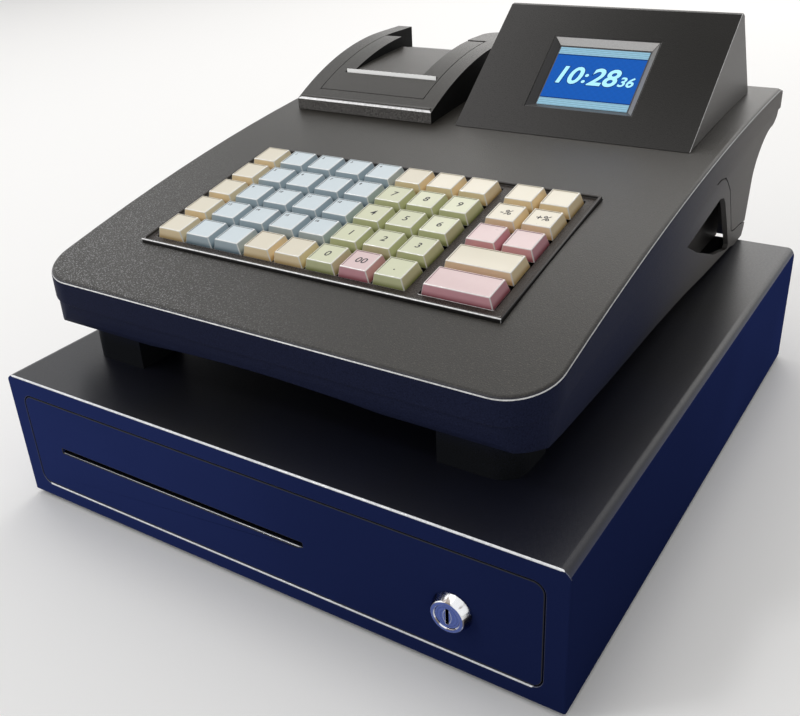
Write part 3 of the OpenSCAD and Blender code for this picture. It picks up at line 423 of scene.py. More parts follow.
def key_cap(name, top, side):
    """A clear cap over a tinted insert: pale on top, tinted down the sides, dim at the skirt, partly as the
    clear skirt over the dark floor and partly as painted shade between the keys.
    """
    paint = Paint(name, Coat_Roughness=0.07, Specular_IOR_Level=0.5)
    paint.set("Coat Weight", 0.6)
    facing = paint.normal_along(PAD_NORMAL).fade(0.6, 0.95)
    height = paint.place_along(PAD_NORMAL, PAD_ORIGIN)
    cloud = paint.noise(260, 2)
    # The dim skirt is partly the clear cap over the dark floor, partly painted shade between the keys.
    skirt = tuple(0.8 * c ** 1.9 for c in side)
    flank = paint.mix(height.fade(0.0002, 0.0030), skirt, side)
    body = paint.mix(facing, flank, top)
    body = paint.mix(cloud * 0.12, body, times(side, 0.8))
    paint.set("Base Color", body)
    paint.set("Roughness", 0.30 + (cloud - 0.5) * 0.1)
    return paint.material


def key_edge(name, top):
    """The clear rim of a cap, with a painted highlight where it faces front, right and up, and painted shade
    low down.
    """
    paint = Paint(name, Coat_Roughness=0.05)
    paint.set("Coat Weight", 1.0)
    height = paint.place_along(PAD_NORMAL, PAD_ORIGIN)
    facing = paint.normal_along((0.68, -0.51, 0.53)).fade(0.08, 0.42)
    pale = towards(top, (0.93, 0.93, 0.91), 0.6)
    dull = times(top, 0.22)
    # Painted shade low on the rim; painted highlight where it faces front, right and up.
    shaded = paint.mix(height.fade(-0.0005, 0.0012), times(dull, 0.5), dull)
    paint.set("Base Color", paint.mix(facing, shaded, pale))
    paint.set("Roughness", 0.12 + paint.noise(300, 1) * 0.06)
    return paint.material


def ink(name, colour):
    paint = Paint(name, Specular_IOR_Level=0.2)
    fine = paint.noise(2400, 1)
    paint.set("Base Color", paint.mix(fine, colour, times(colour, 1.6)))
    paint.set("Roughness", 0.5 + (fine - 0.5) * 0.1)
    return paint.material


def lit_picture(name, colour, dots=0.0, rows=0.0):
    """A backlit liquid-crystal area with its fine pixel grid, ruled where rows is above 0."""
    paint = Paint(name, Roughness=0.25, Specular_IOR_Level=0.05, Emission_Strength=0.75)
    across = paint.place_along((1, 0, 0))
    along = paint.place_along(SCREEN_MATRIX.to_3x3() @ Vector((0, 1, 0)), SCREEN_MATRIX.translation)
    pixel = 0.00072
    grid = (across / pixel).math("SINE") * (along / pixel).math("SINE")
    shade = paint.mix(grid.fade(-0.4, 0.4) * dots, colour, times(colour, 0.55))
    if rows:
        ruled = (along * (math.tau / 0.0014)).math("SINE")
        shade = paint.mix(ruled.fade(0.0, 0.7) * rows, shade, times(colour, 0.5))
    paint.set("Base Color", paint.mix(0.5, BLACK, shade))
    paint.set("Emission Color", shade)
    return paint.material


# ---------------------------------------------------------------- making pieces


def nothing_selected():
    if bpy.context.object and bpy.context.object.mode != "OBJECT":
        bpy.ops.object.mode_set(mode="OBJECT")
    bpy.ops.object.select_all(action="DESELECT")


def only(piece):
    nothing_selected()
    piece.select_set(True)
    bpy.context.view_layer.objects.active = piece


def edit_all(piece):
    """Opens a piece for editing with all of it selected."""
    only(piece)
    bpy.ops.object.mode_set(mode="EDIT")
    bpy.ops.mesh.select_all(action="SELECT")


def unmark(mesh):
    """Clears a mesh's selection."""
    for group in (mesh.vertices, mesh.edges, mesh.polygons):
        group.foreach_set("select", [False] * len(group))


def select_faces(piece, test):
    """Selects the faces whose centre and normal pass the test, and stays in edit mode."""
    only(piece)
    mesh = piece.data
    unmark(mesh)
    found = [face.index for face in mesh.polygons if test(face.center, face.normal)]
    for index in found:
        mesh.polygons[index].select = True
    bpy.ops.object.mode_set(mode="EDIT")
    bpy.ops.mesh.select_mode(type="FACE")
    return len(found)


def object_mode():
    bpy.ops.object.mode_set(mode="OBJECT")


def apply(piece, kind, **settings):
    only(piece)
    modifier = piece.modifiers.new(kind.title(), kind)
    for label, value in settings.items():
        setattr(modifier, label, value)
    bpy.ops.object.modifier_apply(modifier=modifier.name)


def settle(piece):
    """Puts the piece's place into its mesh."""
    only(piece)
    bpy.ops.object.transform_apply(location=True, rotation=True, scale=True)


def copy_of(node, name, flats=True):
    """A merged copy of a frame node, with its flat faces joined up unless flats is off."""
    source = frame["nodes"][node]
    piece = bpy.data.objects.new(name, source.data.copy())
    bpy.context.scene.collection.objects.link(piece)
    piece.data.materials.clear()
    edit_all(piece)
    bpy.ops.mesh.customdata_custom_splitnormals_clear()
    bpy.ops.mesh.remove_doubles(threshold=0.000004)
    if flats:
        bpy.ops.mesh.dissolve_limited(angle_limit=math.radians(0.6), delimit=set())
    bpy.ops.mesh.mark_sharp(clear=True)
    object_mode()
    return piece


def weigh(piece):
    """Shades a piece by the size of its faces."""
    apply(piece, "WEIGHTED_NORMAL", mode="FACE_AREA", weight=80, keep_sharp=False)


def soften(piece, width, segments, angle, material=-1):
    """Rounds the edges sharper than the angle, in degrees, and shades the result."""
    apply(piece, "BEVEL", width=width, segments=segments, limit_method="ANGLE", material=material,
          angle_limit=math.radians(angle), use_clamp_overlap=True, miter_outer="MITER_ARC")
    only(piece)
    bpy.ops.object.shade_smooth()
    weigh(piece)


def carry(piece, body, slot, *materials, replaced=()):
    """Finishes a piece: its materials, the body it rides on and the nodes it stands for."""
    for material in materials:
        piece.data.materials.append(material)
    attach(piece, body)
    if replaced:
        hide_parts(*replaced)


def repaint(material, *nodes):
    for node in nodes:
        mesh = frame["nodes"][node].data
        mesh.materials.clear()
        mesh.materials.append(material)


def body_of_node(node):
    for body, members in frame["record"]["behaviour"]["bodies"].items():
        if node in members:
            return body
    raise ValueError(node)


def softened(node, slot, materials, width, segments, angle=28, shape=None, lit=None, unlit=FACE, flats=True):
    """A node with rounded edges. Its materials are for the faces, the edges, the upright faces if
    there is a third, and whatever shape marks. Edges where lit is false take the material unlit."""
    piece = copy_of(node, node + "_shape", flats)
    for material in materials:
        piece.data.materials.append(material)
    if shape:
        shape(piece)
    soften(piece, width, segments, angle, EDGE)
    for face in piece.data.polygons:
        if lit and face.material_index == EDGE and not lit(face.center):
            face.material_index = unlit
        if len(materials) > UPRIGHT and face.material_index == FACE and face.normal.z < UPRIGHT_BELOW:
            face.material_index = UPRIGHT
    carry(piece, body_of_node(node), slot, replaced=(node,))


def select_edges(piece, test):
    """Selects the edges between two faces that pass the test, and stays in edit mode."""
    only(piece)
    mesh = piece.data
    beside = {}
    for face in mesh.polygons:
        for key in face.edge_keys:
            beside.setdefault(key, []).append(face)
    unmark(mesh)
    found = 0
    for edge in mesh.edges:
        faces = beside.get(edge.key, ())
        middle = (mesh.vertices[edge.vertices[0]].co + mesh.vertices[edge.vertices[1]].co) / 2
        if len(faces) == 2 and test(middle, faces[0].normal, faces[1].normal):
            edge.select = True
            found += 1
    bpy.ops.object.mode_set(mode="EDIT")
    bpy.ops.mesh.select_mode(type="EDGE")
    return found


def lettering(name, words, size, matrix, thickness, slant, thicken):
    """Numerals as a thin raised mesh, centred on the matrix's origin."""
    nothing_selected()
    bpy.ops.object.text_add()
    letters = bpy.context.object
    letters.name = name
    data = letters.data
    data.body = words
    data.size = size
    data.align_x = "CENTER"
    data.align_y = "CENTER"
    data.extrude = thickness / 2
    data.offset = thicken
    data.shear = slant
    data.resolution_u = 4
    only(letters)
    bpy.ops.object.convert(target="MESH")
    letters.matrix_world = matrix @ Matrix.Translation((0, 0, thickness / 2))
    settle(letters)
    edit_all(letters)
    bpy.ops.mesh.remove_doubles(threshold=0.00001)
    object_mode()
    return letters


def join(first, *others):
    """Joins the other pieces into the first."""
    nothing_selected()
    for piece in (first, *others):
        piece.select_set(True)
    bpy.context.view_layer.objects.active = first
    bpy.ops.object.join()


def block(name, low, high, matrix):
    """A box between two corners in the space of the matrix."""
    low, high = Vector(low), Vector(high)
    nothing_selected()
    bpy.ops.mesh.primitive_cube_add(size=1, location=(low + high) / 2, scale=high - low)
    piece = bpy.context.object
    piece.name = name
    settle(piece)
    piece.matrix_world = matrix
    settle(piece)
    return piece


# ---------------------------------------------------------------- operators


class REGISTER_OT_camera(bpy.types.Operator):
    """Place the camera"""

    bl_idname = "register.camera"
    bl_label = "Camera"

    def execute(self, context):
        settings = context.scene.register_camera
        camera = bpy.data.objects.new("camera", bpy.data.cameras.new("camera"))
        context.scene.collection.objects.link(camera)
        camera.data.sensor_width = 36.0
        camera.data.lens = settings.lens
        camera.data.clip_start = 0.01
        camera.data.clip_end = 50.0
        back = -Vector(settings.forward).normalized()
        right = Vector(settings.right).normalized()
        up = back.cross(right).normalized()
        right = up.cross(back)
        turn = Matrix((right, up, back)).transposed().to_4x4()
        camera.matrix_world = Matrix.Translation(Vector(settings.place)) @ turn
        context.scene.camera = camera
        return {"FINISHED"}


# Each lamp's name, place, aim, size, power in watts and colour
LAMPS = (
    ("ceiling_panel", (-0.5, 0.5, 2.3), (0.0, 0.05, 0.1), (2.4, 2.4), 21, (1.0, 0.975, 0.94)),
    ("back_panel", (-0.25, 2.2, 1.3), (0.0, 0.1, 0.2), (2.4, 1.6), 18, (1.0, 0.97, 0.93)),
    ("side_panel", (-2.0, 0.7, 1.95), (-0.1, -0.1, 0.12), (0.8, 0.8), 3, (0.96, 0.97, 1.0)),
    ("left_panel", (-1.7, -1.9, 1.0), (0.0, 0.0, 0.1), (1.2, 0.9), 8, (1, 1, 1)),
    ("small_panel", (-1.07, -1.12, 1.75), (0.0, -0.05, 0.12), (0.34, 0.34), 7, (1, 1, 1)),
)


class REGISTER_OT_stage(bpy.types.Operator):
    """Add the floor, the lamps and the white surround"""

    bl_idname = "register.stage"
    bl_label = "Stage"

    def execute(self, context):
        nothing_selected()
        bpy.ops.mesh.primitive_plane_add(size=14, location=(0, 0, -0.0002))
        floor = context.object
        floor.name = "floor"
        paint = Paint("floor_white", Roughness=0.9, Specular_IOR_Level=0.0)
        seen = paint.noise(0.5, 1)
        paint.set("Base Color", paint.mix(seen, (0.90, 0.90, 0.90), (0.92, 0.92, 0.92)))
        floor.data.materials.append(paint.material)
        self.surround(context)
        for values in LAMPS:
            self.lamp(context, *values)
        context.scene.view_settings.view_transform = "Standard"
        return {"FINISHED"}

    def lamp(self, context, name, place, aim, size, power, colour):
        data = bpy.data.lights.new(name, "AREA")
        data.shape = "RECTANGLE"
        data.size, data.size_y = size
        data.energy = power
        data.color = colour
        lamp = bpy.data.objects.new(name, data)
        context.scene.collection.objects.link(lamp)
        lamp.location = place
        lamp.rotation_euler = (Vector(aim) - Vector(place)).to_track_quat("-Z", "Y").to_euler()

    def surround(self, context):
        world = bpy.data.worlds.new("studio")
        context.scene.world = world
        world.use_nodes = True
        nodes, links = world.node_tree.nodes, world.node_tree.links
        nodes.clear()
        output = nodes.new("ShaderNodeOutputWorld")
        path = nodes.new("ShaderNodeLightPath")
        seen = nodes.new("ShaderNodeMath")
        seen.operation = "ADD"
        seen.use_clamp = True
        links.new(path.outputs["Is Camera Ray"], seen.inputs[0])
        glass = nodes.new("ShaderNodeMath")
        glass.operation = "ADD"
        links.new(path.outputs["Is Glossy Ray"], glass.inputs[0])
        links.new(path.outputs["Is Transmission Ray"], glass.inputs[1])
        links.new(glass.outputs[0], seen.inputs[1])
        level = nodes.new("ShaderNodeMapRange")
        links.new(seen.outputs[0], level.inputs[0])
        level.inputs[3].default_value = 0.45
        level.inputs[4].default_value = 1.0
        background = nodes.new("ShaderNodeBackground")
        background.inputs[0].default_value = (1, 1, 1, 1)
        links.new(level.outputs[0], background.inputs[1])
        links.new(background.outputs[0], output.inputs[0])


class REGISTER_OT_drawer(bpy.types.Operator):
    """Finish the cash drawer: housing, front, lock, box and till"""

    bl_idname = "register.drawer"
    bl_label = "Cash drawer"

    def execute(self, context):
        settings = context.scene.register_drawer
        top, front = tuple(settings.top_colour), tuple(settings.front_colour)
        # Upright faces take a painted blue reflection. The edge and ledge materials are painted highlights;
        # the near-black shade material is painted shadow on the front's rounded edges and along its foot.
        coat = powder_coat("drawer_coat", top, front, 0.38, 0.34)
        upright = powder_coat("drawer_coat_upright", front, front, 0.0, 0.45)
        edge = bright_edge("drawer_edge", times(front, 0.5), (0.12, 0.13, 0.19))
        shade = plain_plastic("drawer_gap", (0.0015, 0.0020, 0.0060), 0.6)
        ledge = bright_edge("drawer_ledge", (0.30, 0.31, 0.36), (0.90, 0.91, 0.94))
        softened("drawer_housing", "housing_navy", (coat, edge, upright, ledge), 0.0006, 2, 50,
                 self.housing_ledges)
        softened("drawer_front", "housing_navy", (coat, shade, upright, ledge), 0.0008, 2, 50,
                 self.slot_ledge)
        steel = zinc_plate("drawer_zinc", (0.55, 0.56, 0.58))
        dark_steel = metal("pan_steel", (0.35, 0.36, 0.38), 0.4)
        black = plain_plastic("till_black", (0.03, 0.03, 0.032), 0.45)
        rubber = plain_plastic("foot_rubber", (0.02, 0.02, 0.02), 0.7)
        repaint(steel, "drawer_rails", "drawer_box", "port_plate", "case_screws")
        repaint(dark_steel, "drawer_base", "drawer_latch")
        repaint(rubber, "drawer_feet")
        repaint(black, "till_insert")
        spring = metal("spring_steel", (0.7, 0.71, 0.73), 0.22, (40, 1, 1), 60)
        repaint(spring, "ejector_spring", "tear_bar", *(f"note_clip_{number}" for number in range(1, 5)))
        repaint(metal("coil_copper", (0.62, 0.33, 0.16), 0.35, (1, 60, 60), 40), "release_solenoid")
        return {"FINISHED"}

    @staticmethod
    def ledge(piece, low, high, width):
        """Chamfers the front edge of the level faces between two heights, in the painted-highlight material.
        """
        def edge(middle, first, second):
            upright, level = min(first.y, second.y) < -0.95, max(first.z, second.z) > 0.95
            return upright and level and low < middle.z < high and middle.y < FRONT_Y + 20 * MM
        if not select_edges(piece, edge):
            raise RuntimeError(f"{piece.name} has no level face there")
        bpy.ops.mesh.bevel(offset=width, segments=1, affect="EDGES", material=LINE)
        object_mode()

    @classmethod
    def housing_ledges(cls, piece):
        for values in HOUSING_LEDGES:
            cls.ledge(piece, *values)

    @classmethod
    def slot_ledge(cls, piece):
        """Chamfers the slot's lower edge for a painted highlight and paints a shadow line along the foot of
        the front.
        """
        cls.ledge(piece, *SLOT_LEDGE)
        foot = min(vertex.co.z for vertex in piece.data.vertices) + FOOT_SHADE
        select_faces(piece, lambda centre, normal: normal.y < -0.9)
        bpy.ops.mesh.bisect(plane_co=(0, 0, foot), plane_no=(0, 0, 1))
        object_mode()
        # Faces below the foot line take the edge material, here a painted shadow.
        for face in piece.data.polygons:
            if face.center.z < foot and face.normal.y < -0.9:
                face.material_index = EDGE


class REGISTER_OT_lock(bpy.types.Operator):
    """Polish the drawer lock"""

    bl_idname = "register.lock"
    bl_label = "Drawer lock"

    def execute(self, context):
        chrome, face = self.chrome(), self.face()
        for node, width, angle in (("lock_bezel", 0.0006, 20), ("lock_plug", 0.0003, 30)):
            piece = copy_of(node, node + "_shape")
            soften(piece, width, 3, angle)
            for polygon in piece.data.polygons:
                if polygon.normal.y < -0.97:
                    polygon.material_index = 1
            carry(piece, body_of_node(node), "lock_chrome", chrome, face, replaced=(node,))
        return {"FINISHED"}

    @staticmethod
    def chrome():
        """Polished ring: bright and streaked above, bluish below, all painted reflections in its colour."""
        paint = Paint("lock_chrome", Metallic=1.0)
        streaks = paint.noise(210, 2, 0.6, (1, 0.12, 1))
        above = paint.normal_along((0.35, -0.15, 0.92)).fade(-0.15, 0.45)
        colour = paint.mix(streaks.fade(0.44, 0.54) * 0.85, (0.86, 0.87, 0.89), (0.10, 0.07, 0.05))
        colour = paint.mix(above, (0.13, 0.19, 0.50), colour)
        paint.set("Base Color", colour)
        paint.set("Roughness", 0.10 + streaks * 0.08)
        return paint.material

    @staticmethod
    def face():
        """Face in a painted blue reflection, with turned rings and a pale oval round the keyway."""
        paint = Paint("lock_face", Metallic=1.0)
        turned = paint.distance(LOCK_CENTRE, (1, 0, 1))
        oval = paint.distance(LOCK_CENTRE, (1.9, 0, 1))
        rings = (turned * (math.tau / (1.5 * MM))).math("SINE")
        colour = paint.mix(rings.fade(0.2, 0.9) * 0.35, (0.115, 0.165, 0.46), (0.04, 0.06, 0.18))
        pale = oval.fade(3.3 * MM, 3.6 * MM) * (1 - oval.fade(3.9 * MM, 4.2 * MM))
        colour = paint.mix(pale * 0.6, colour, (0.62, 0.66, 0.78))
        paint.set("Base Color", colour)
        paint.set("Roughness", 0.2 + rings.fade(0.2, 0.9) * 0.08)
        return paint.material


class REGISTER_OT_cases(bpy.types.Operator):
    """Finish the register's cases"""

    bl_idname = "register.cases"
    bl_label = "Cases"

    def execute(self, context):
        settings = context.scene.register_case
        top, side = tuple(settings.top_colour), tuple(settings.side_colour)
        rear = tuple(settings.rear_colour)
        # Upright faces take a painted blue reflection, grey towards the rear as painted light; the edge and
        # deck line materials are painted highlights.
        plastic = moulded_plastic("case_plastic", top, side, 0.34)
        upright = moulded_plastic("case_plastic_upright", side, side, 0.02, 0.45, 0.5, rear)
        edge = bright_edge("case_edge", times(top, 1.5), (0.13, 0.13, 0.135), 0.25)
        line = bright_edge("deck_line", times(top, 2.0), (0.72, 0.72, 0.72), 0.25, (0.35, -0.72, 0.60))
        softened("upper_case", "case_black", (plastic, edge, upright, line), settings.edge, 3,
                 shape=lambda piece: self.round_deck(piece, settings.deck_edge))
        softened("lower_case", "case_black", (plastic, edge, upright), settings.edge, 3)
        # The lip and the display case's right edges take painted highlights; the display's sides take the
        # rear grey, painted light.
        lip = bright_edge("lip_edge", times(top, 1.2), (0.80, 0.80, 0.81), 0.2, (0.1, -0.70, 0.70))
        side_line = bright_edge("display_edge", times(top, 1.2), (0.60, 0.60, 0.60), 0.2, (0.75, -0.40, 0.53))
        flank = moulded_plastic("display_plastic_upright", times(rear, 0.7), times(rear, 0.7), 0.3, 0.4)
        visor = self.visor(top)
        softened("display_case", "case_black", (visor, side_line, flank), settings.edge, 3,
                 lit=lambda place: place.x > DISPLAY_LIT_X)
        # A near-black material: painted shade in the bezel's grooves and on the printer lid's and display
        # frame's edges.
        groove = plain_plastic("bezel_groove", (0.006, 0.005, 0.005), 0.4)
        cheek = self.cheek(rear)
        softened("printer_body", "case_black", (plastic, edge, cheek, lip), settings.edge, 3,
                 shape=self.front_lip)
        softened("printer_lid", "case_black", (plastic, groove, cheek), 0.0004, 2)
        # The bezel's upright faces and its edges other than the rim's front edges take the near-black groove
        # material, painted shade; the rim's front edges take a painted highlight.
        bezel = moulded_plastic("bezel_plastic", (0.030, 0.023, 0.019), (0.006, 0.006, 0.006), 0.15, 0.3, 0.5)
        rim = bright_edge("bezel_edge", (0.03, 0.03, 0.03), (0.95, 0.95, 0.95), 0.2, (0, -0.75, 0.66))
        to_pad = PAD_MATRIX.inverted()
        softened("keypad_bezel", "bezel_black", (bezel, rim, groove), 0.0005, 2,
                 lit=lambda place: (to_pad @ place).y < BEZEL_LIT_Y, unlit=UPRIGHT, flats=False)
        softened("display_frame", "bezel_black", (self.screen_surround(), groove), 0.0003, 2)
        board = plain_plastic("board_green", (0.03, 0.16, 0.07), 0.35)
        repaint(board, "key_board", "main_board")
        rubber = plain_plastic("roller_rubber", (0.015, 0.015, 0.015), 0.6)
        repaint(rubber, "platen_roller", "power_rocker")
        repaint(metal("head_metal", (0.7, 0.7, 0.72), 0.3), "print_head")
        return {"FINISHED"}

    @staticmethod
    def round_deck(piece, radius):
        """Rounds the edge between the deck and the band round it, and marks a painted highlight line along
        it.
        """
        def rim(middle, first, second):
            high, low = max(first.z, second.z), min(first.z, second.z)
            outside = abs(middle.x - CASE_X) > DECK_HALF_WIDTH or abs(middle.y) > DECK_HALF_LENGTH
            return outside and high > 0.85 and abs(low) < 0.4
        if not select_edges(piece, rim):
            raise RuntimeError("the deck has no outer edge")
        bpy.ops.mesh.bevel(offset=radius, segments=7, profile=0.5, affect="EDGES")
        object_mode()
        for face in piece.data.polygons:
            if face.select and 0.45 < face.normal.z < 0.60:
                face.material_index = LINE

    @staticmethod
    def front_lip(piece):
        """Marks the rounded top of the printer's front lip for a painted highlight."""
        front = min(vertex.co.y for vertex in piece.data.vertices)
        for face in piece.data.polygons:
            if face.center.y < front + LIP_DEPTH and face.normal.y < -0.3 and face.normal.z > 0.35:
                face.material_index = LINE

    @staticmethod
    def cheek(rear):
        """The printer's upright faces: mottled in front, plain behind and near black to the right as painted
        shade; their grey is the rear colour, painted light.
        """
        paint = Paint("printer_plastic_upright", IOR=1.45, Specular_IOR_Level=0.05)
        pits = paint.noise(1100, 3, 0.6)
        right = paint.normal_along((1, 0, 0)).fade(0.2, 0.7)
        front = paint.normal_along((0, -1, 0)).fade(0.5, 0.9)
        mottled = paint.mix(pits.fade(0.35, 0.65) * (0.2 + front * 0.8), times(rear, 0.45), times(rear, 1.15))
        paint.set("Base Color", paint.mix(right, mottled, (0.008, 0.008, 0.008)))
        paint.set("Roughness", 0.4 + (pits - 0.5) * 0.3)
        paint.set("Normal", paint.bump(pits, 0.00020, 0.6))
        return paint.material

    @staticmethod
    def visor(top):
        """The display's front: the case plastic, darkest towards its upper right corner as a painted fall of
        light.
        """
        paint = Paint("display_plastic", IOR=1.45, Specular_IOR_Level=0.12)
        deep = spark_eroded(paint, 0.4)[1]
        corner = paint.distance(SCREEN_MATRIX @ Vector((0.135, 0.095, 0))).fade(0.02, 0.19)
        colour = paint.mix(corner, times(top, 0.35), (0.062, 0.060, 0.059))
        paint.set("Base Color", paint.mix(deep, colour, BLACK))
        return paint.material

    @staticmethod
    def screen_surround():
        """The bevels round the screen, with light painted by the way they face: pale above it, grey to its
        right, dark elsewhere.
        """
        paint = Paint("screen_surround", Specular_IOR_Level=0.4)
        fine = paint.noise(1800, 2)
        down = SCREEN_MATRIX.to_3x3() @ Vector((0, -1, 0))
        above = paint.normal_along(down).fade(0.25, 0.6)
        right = paint.normal_along((-1, 0, 0)).fade(0.25, 0.6)
        colour = paint.mix(right, (0.030, 0.029, 0.029), (0.24, 0.235, 0.23))
        left = paint.normal_along((1, 0, 0)).fade(0.25, 0.6)
        colour = paint.mix(left, colour, (0.009, 0.008, 0.008))
        colour = paint.mix(above, colour, (0.66, 0.64, 0.62))
        paint.set("Base Color", paint.mix(fine * 0.3, colour, (0.05, 0.05, 0.05)))
        paint.set("Roughness", 0.35 + (fine - 0.5) * 0.15)
        return paint.material


KEY_SLOTS = {"blue": "key_blue", "yellow": "key_yellow", "green": "key_grey", "pink": "key_pink"}


class REGISTER_OT_keys(bpy.types.Operator):
    """Make the keys: clear caps over tinted inserts, with numerals on the number keys"""

    bl_idname = "register.keys"
    bl_label = "Keys"

    def execute(self, context):
        settings = context.scene.register_keys
        tints = {}
        for label in KEY_SLOTS:
            top, side = tuple(getattr(settings, label)), tuple(getattr(settings, label + "_side"))
            # Each tint: the cap, its rim with painted highlight and shade, and a dark line for the dish's
            # slope as painted shade.
            tints[label] = (key_cap("key_" + label, top, side), key_edge("key_rim_" + label, top),
                            plain_plastic("key_line_" + label, times(side, 0.30), 0.3))
        legend = ink("key_ink", (0.03, 0.03, 0.035))
        numbers = {"key_0": "0", "key_00": "00", "key_dot": ".", "key_r2a": "-%", "key_r2b": "+%"}
        for number in range(1, 10):
            numbers[f"key_{number}"] = str(number)
        for node in frame["nodes"]:
            if not node.startswith("key") or node in ("key_board", "keypad_bezel"):
                continue
            label = self.tint(node)
            piece = copy_of(node, node + "_cap")
            for material in (*tints[label], *(tints["yellow"] if node == "keys_front_mix" else ())):
                piece.data.materials.append(material)
            soften(piece, settings.edge, 2, 30, EDGE)
            self.dish(piece)
            weigh(piece)
            if node == "keys_front_mix":
                for face in piece.data.polygons:
                    if face.center.x > self.column(2) + KEY_PITCH[0] / 2 + PAD_ORIGIN.x:
                        face.material_index += len(tints[label])
            if node in numbers:
                self.number(piece, node, numbers[node], settings.numeral, legend)
            if node.startswith("keys_blue"):
                self.item_numbers(piece, node, settings.numeral * 0.42, legend)
            carry(piece, body_of_node(node), KEY_SLOTS[label], replaced=(node,))
        return {"FINISHED"}

    @staticmethod
    def column(index):
        return KEY_FIRST[0] + index * KEY_PITCH[0]

    @staticmethod
    def tint(node):
        if node in ("key_00", "key_r3a", "key_r3b", "key_wide_front"):
            return "pink"
        if node.startswith("keys_blue") or node == "keys_front_mix":
            return "blue"
        if node.startswith("key_r") or node in ("keys_yellow", "key_wide_upper"):
            return "yellow"
        return "green"

    @staticmethod
    def dish(piece):
        """Insets each cap's top, lowers it a little and marks the slope in between with a dark line, a
        painted shade.
        """
        top = PAD_NORMAL.dot(PAD_ORIGIN) + KEY_TOP
        found = select_faces(piece, lambda centre, normal: normal.dot(PAD_NORMAL) > 0.99
                             and abs(centre.dot(PAD_NORMAL) - top) < 0.0003)
        if not found:
            raise RuntimeError(f"{piece.name} has no top face")
        bpy.ops.mesh.inset(thickness=KEY_RIM, depth=0, use_individual=True)
        bpy.ops.mesh.inset(thickness=DISH_SLOPE, depth=-DISH_DEPTH, use_individual=True)
        object_mode()
        for face in piece.data.polygons:
            height, level = face.center.dot(PAD_NORMAL) - top, face.normal.dot(PAD_NORMAL)
            if -0.0002 < height < -0.00008 and 0.2 < level < 0.8 and face.material_index == FACE:
                face.material_index = UPRIGHT

    def number(self, piece, node, words, size, legend):
        low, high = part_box(node)
        centre = PAD_MATRIX.inverted() @ ((low + high) / 2)
        self.mark(piece, words, size, centre.x, centre.y, legend)

    def item_numbers(self, piece, node, size, legend):
        """Small plain numbers in the upper left corner of each item key of a row."""
        row = int(node[-1])
        for column in range(4):
            x = self.column(column + 1) - 4.6 * MM
            y = KEY_FIRST[1] - (row - 1) * KEY_PITCH[1] + 4.4 * MM
            self.mark(piece, str(column + 1 + (row - 1) * 4), size, x, y, legend)

    @staticmethod
    def mark(piece, words, size, x, y, legend):
        """Prints words on the dished top of a cap, at a place on the key plane."""
        at = PAD_MATRIX @ Matrix.Translation((x, y, KEY_TOP - MARK_DEPTH))
        letters = lettering("key_mark", words, size, at, MARK_THICKNESS, 0.12, 0.00004)
        letters.data.materials.append(legend)
        join(piece, letters)


class REGISTER_OT_printer(bpy.types.Operator):
    """Finish the ticket printer's paper"""

    bl_idname = "register.printer"
    bl_label = "Ticket printer"

    def execute(self, context):
        # The paper glows a little: painted light that whitens it.
        paint = Paint("ticket_paper", Roughness=0.75, Specular_IOR_Level=0.2, Emission_Strength=0.22)
        fibre = paint.noise(1400, 3)
        paint.set("Base Color", paint.mix(fibre, (0.90, 0.90, 0.89), (0.97, 0.97, 0.96)))
        paint.set("Emission Color", (0.95, 0.95, 0.93))
        paint.set("Normal", paint.bump(fibre, 0.00003, 0.3))
        repaint(paint.material, "paper_roll")
        strip = copy_of("paper_strip", "paper_strip_shape")
        self.tear(strip)
        carry(strip, body_of_node("paper_strip"), "paper", paint.material, replaced=("paper_strip",))
        return {"FINISHED"}

    @staticmethod
    def tear(strip):
        """Cuts the strip short and gives its end a torn edge."""
        low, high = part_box("paper_strip")
        cut = high.z - PAPER_CUT
        edit_all(strip)
        bpy.ops.mesh.bisect(plane_co=(0, 0, cut), plane_no=(0, 0, 1), clear_outer=True, use_fill=True)
        object_mode()
        for step in range(1, PAPER_STEPS):
            edit_all(strip)
            x = low.x + (high.x - low.x) * step / PAPER_STEPS
            bpy.ops.mesh.bisect(plane_co=(x, 0, 0), plane_no=(1, 0, 0))
            object_mode()
        for vertex in strip.data.vertices:
            if vertex.co.z > cut - 0.1 * MM:
                x = vertex.co.x / MM
                vertex.co.z -= (0.20 + 0.07 * math.sin(x * 9.1) + 0.05 * math.sin(x * 21.7 + 1.0)) * MM


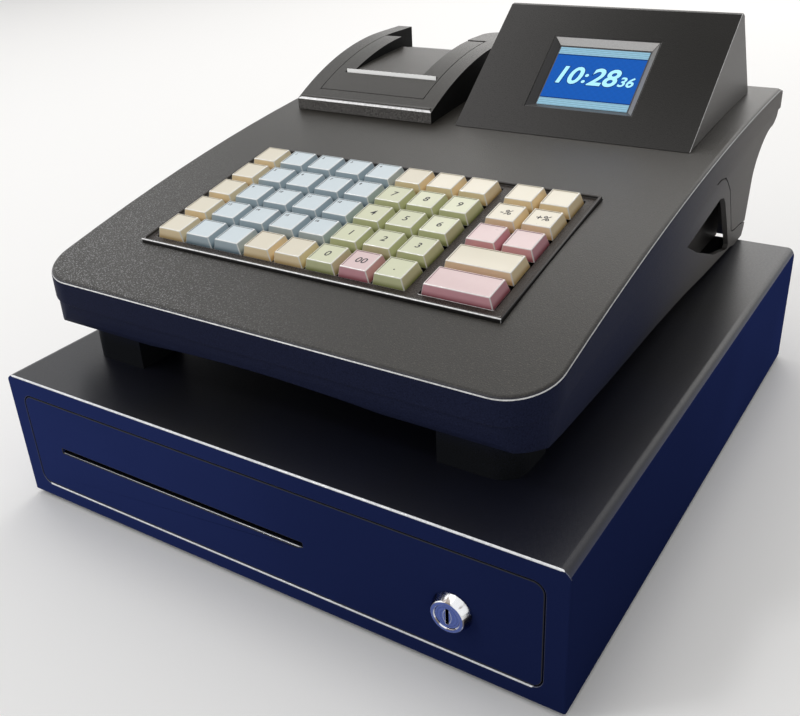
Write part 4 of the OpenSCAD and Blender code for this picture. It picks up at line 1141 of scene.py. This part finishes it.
class REGISTER_OT_screen(bpy.types.Operator):
    """Make the display's picture: a blue clock between two pale bars"""

    bl_idname = "register.screen"
    bl_label = "Screen"

    def execute(self, context):
        settings = context.scene.register_screen
        left, width = 30.5 * MM, 56.7 * MM
        bottom, height = 25.1 * MM, 43.8 * MM
        level = -3.6 * MM
        bar = 5.6 * MM
        sheet = 0.12 * MM
        low_x, high_x = left + 0.2 * MM, left + width - 0.2 * MM
        field = block("screen_field", (low_x, bottom + bar, level),
                      (high_x, bottom + height - bar, level + sheet), SCREEN_MATRIX)
        field.data.materials.append(lit_picture("picture_field", tuple(settings.field), 0.10))
        bar_paint = lit_picture("picture_bar", tuple(settings.bar), 0.12, 0.5)
        rule_paint = lit_picture("picture_rule", times(settings.field, 0.35))
        digit_paint = lit_picture("picture_digit", tuple(settings.digit))
        pieces = []
        for name, low in (("upper", bottom + height - bar), ("lower", bottom)):
            strip = block("screen_bar_" + name, (low_x, low + 0.1 * MM, level),
                          (high_x, low + bar - 0.1 * MM, level + sheet * 1.2), SCREEN_MATRIX)
            strip.data.materials.append(bar_paint)
            rule = low if name == "upper" else low + bar
            line = block("screen_rule_" + name, (low_x, rule - 0.35 * MM, level),
                         (high_x, rule + 0.35 * MM, level + sheet * 1.5), SCREEN_MATRIX)
            line.data.materials.append(rule_paint)
            pieces += [strip, line]
        middle = bottom + height / 2
        large, colon, small = 17.5, 13.5, 9.6
        signs = ((settings.hours, 11.6, large), (":", 22.9, colon), (settings.minutes, 34.2, large),
                 (settings.seconds, 48.9, small))
        for number, (words, x, size) in enumerate(signs):
            y = middle - (1.4 * MM if size == small else -0.4 * MM)
            for layer, paint, thicken in ((1, rule_paint, 0.00085), (2, digit_paint, 0.00042)):
                at = SCREEN_MATRIX @ Matrix.Translation((left + x * MM, y, level + sheet * layer))
                letters = lettering(f"screen_digit_{number}_{layer}", words, size * MM, at, 0.05 * MM, 0.22,
                                    thicken * size / large)
                letters.data.materials.append(paint)
                pieces.append(letters)
        join(field, *pieces)
        carry(field, "frame", "screen_blue")
        repaint(plain_plastic("screen_back", (0.02, 0.02, 0.03), 0.3), "screen_module")
        return {"FINISHED"}


class REGISTER_PT_parts(bpy.types.Panel):
    """Lists the register's settings and steps"""

    bl_idname = "REGISTER_PT_parts"
    bl_label = "Register"
    bl_space_type = "VIEW_3D"
    bl_region_type = "UI"
    bl_category = "Register"

    def draw(self, context):
        for name in SETTINGS:
            group = getattr(context.scene, name)
            box = self.layout.box()
            for label in group.__annotations__:
                box.prop(group, label)
        for operator in OPERATORS:
            self.layout.operator(operator.bl_idname)


SETTINGS = {
    "register_camera": CameraSettings,
    "register_case": CaseSettings,
    "register_drawer": DrawerSettings,
    "register_keys": KeySettings,
    "register_screen": ScreenSettings,
}
OPERATORS = (
    REGISTER_OT_camera,
    REGISTER_OT_stage,
    REGISTER_OT_drawer,
    REGISTER_OT_lock,
    REGISTER_OT_cases,
    REGISTER_OT_keys,
    REGISTER_OT_printer,
    REGISTER_OT_screen,
)
CLASSES = (*SETTINGS.values(), *OPERATORS, REGISTER_PT_parts)


def register():
    for each in CLASSES:
        bpy.utils.register_class(each)
    for name, group in SETTINGS.items():
        setattr(bpy.types.Scene, name, bpy.props.PointerProperty(type=group))


def unregister():
    for name in SETTINGS:
        delattr(bpy.types.Scene, name)
    for each in reversed(CLASSES):
        bpy.utils.unregister_class(each)


def main():
    register()
    for operator in OPERATORS:
        group, name = operator.bl_idname.split(".")
        getattr(getattr(bpy.ops, group), name)()


if __name__ == "__main__":
    main()
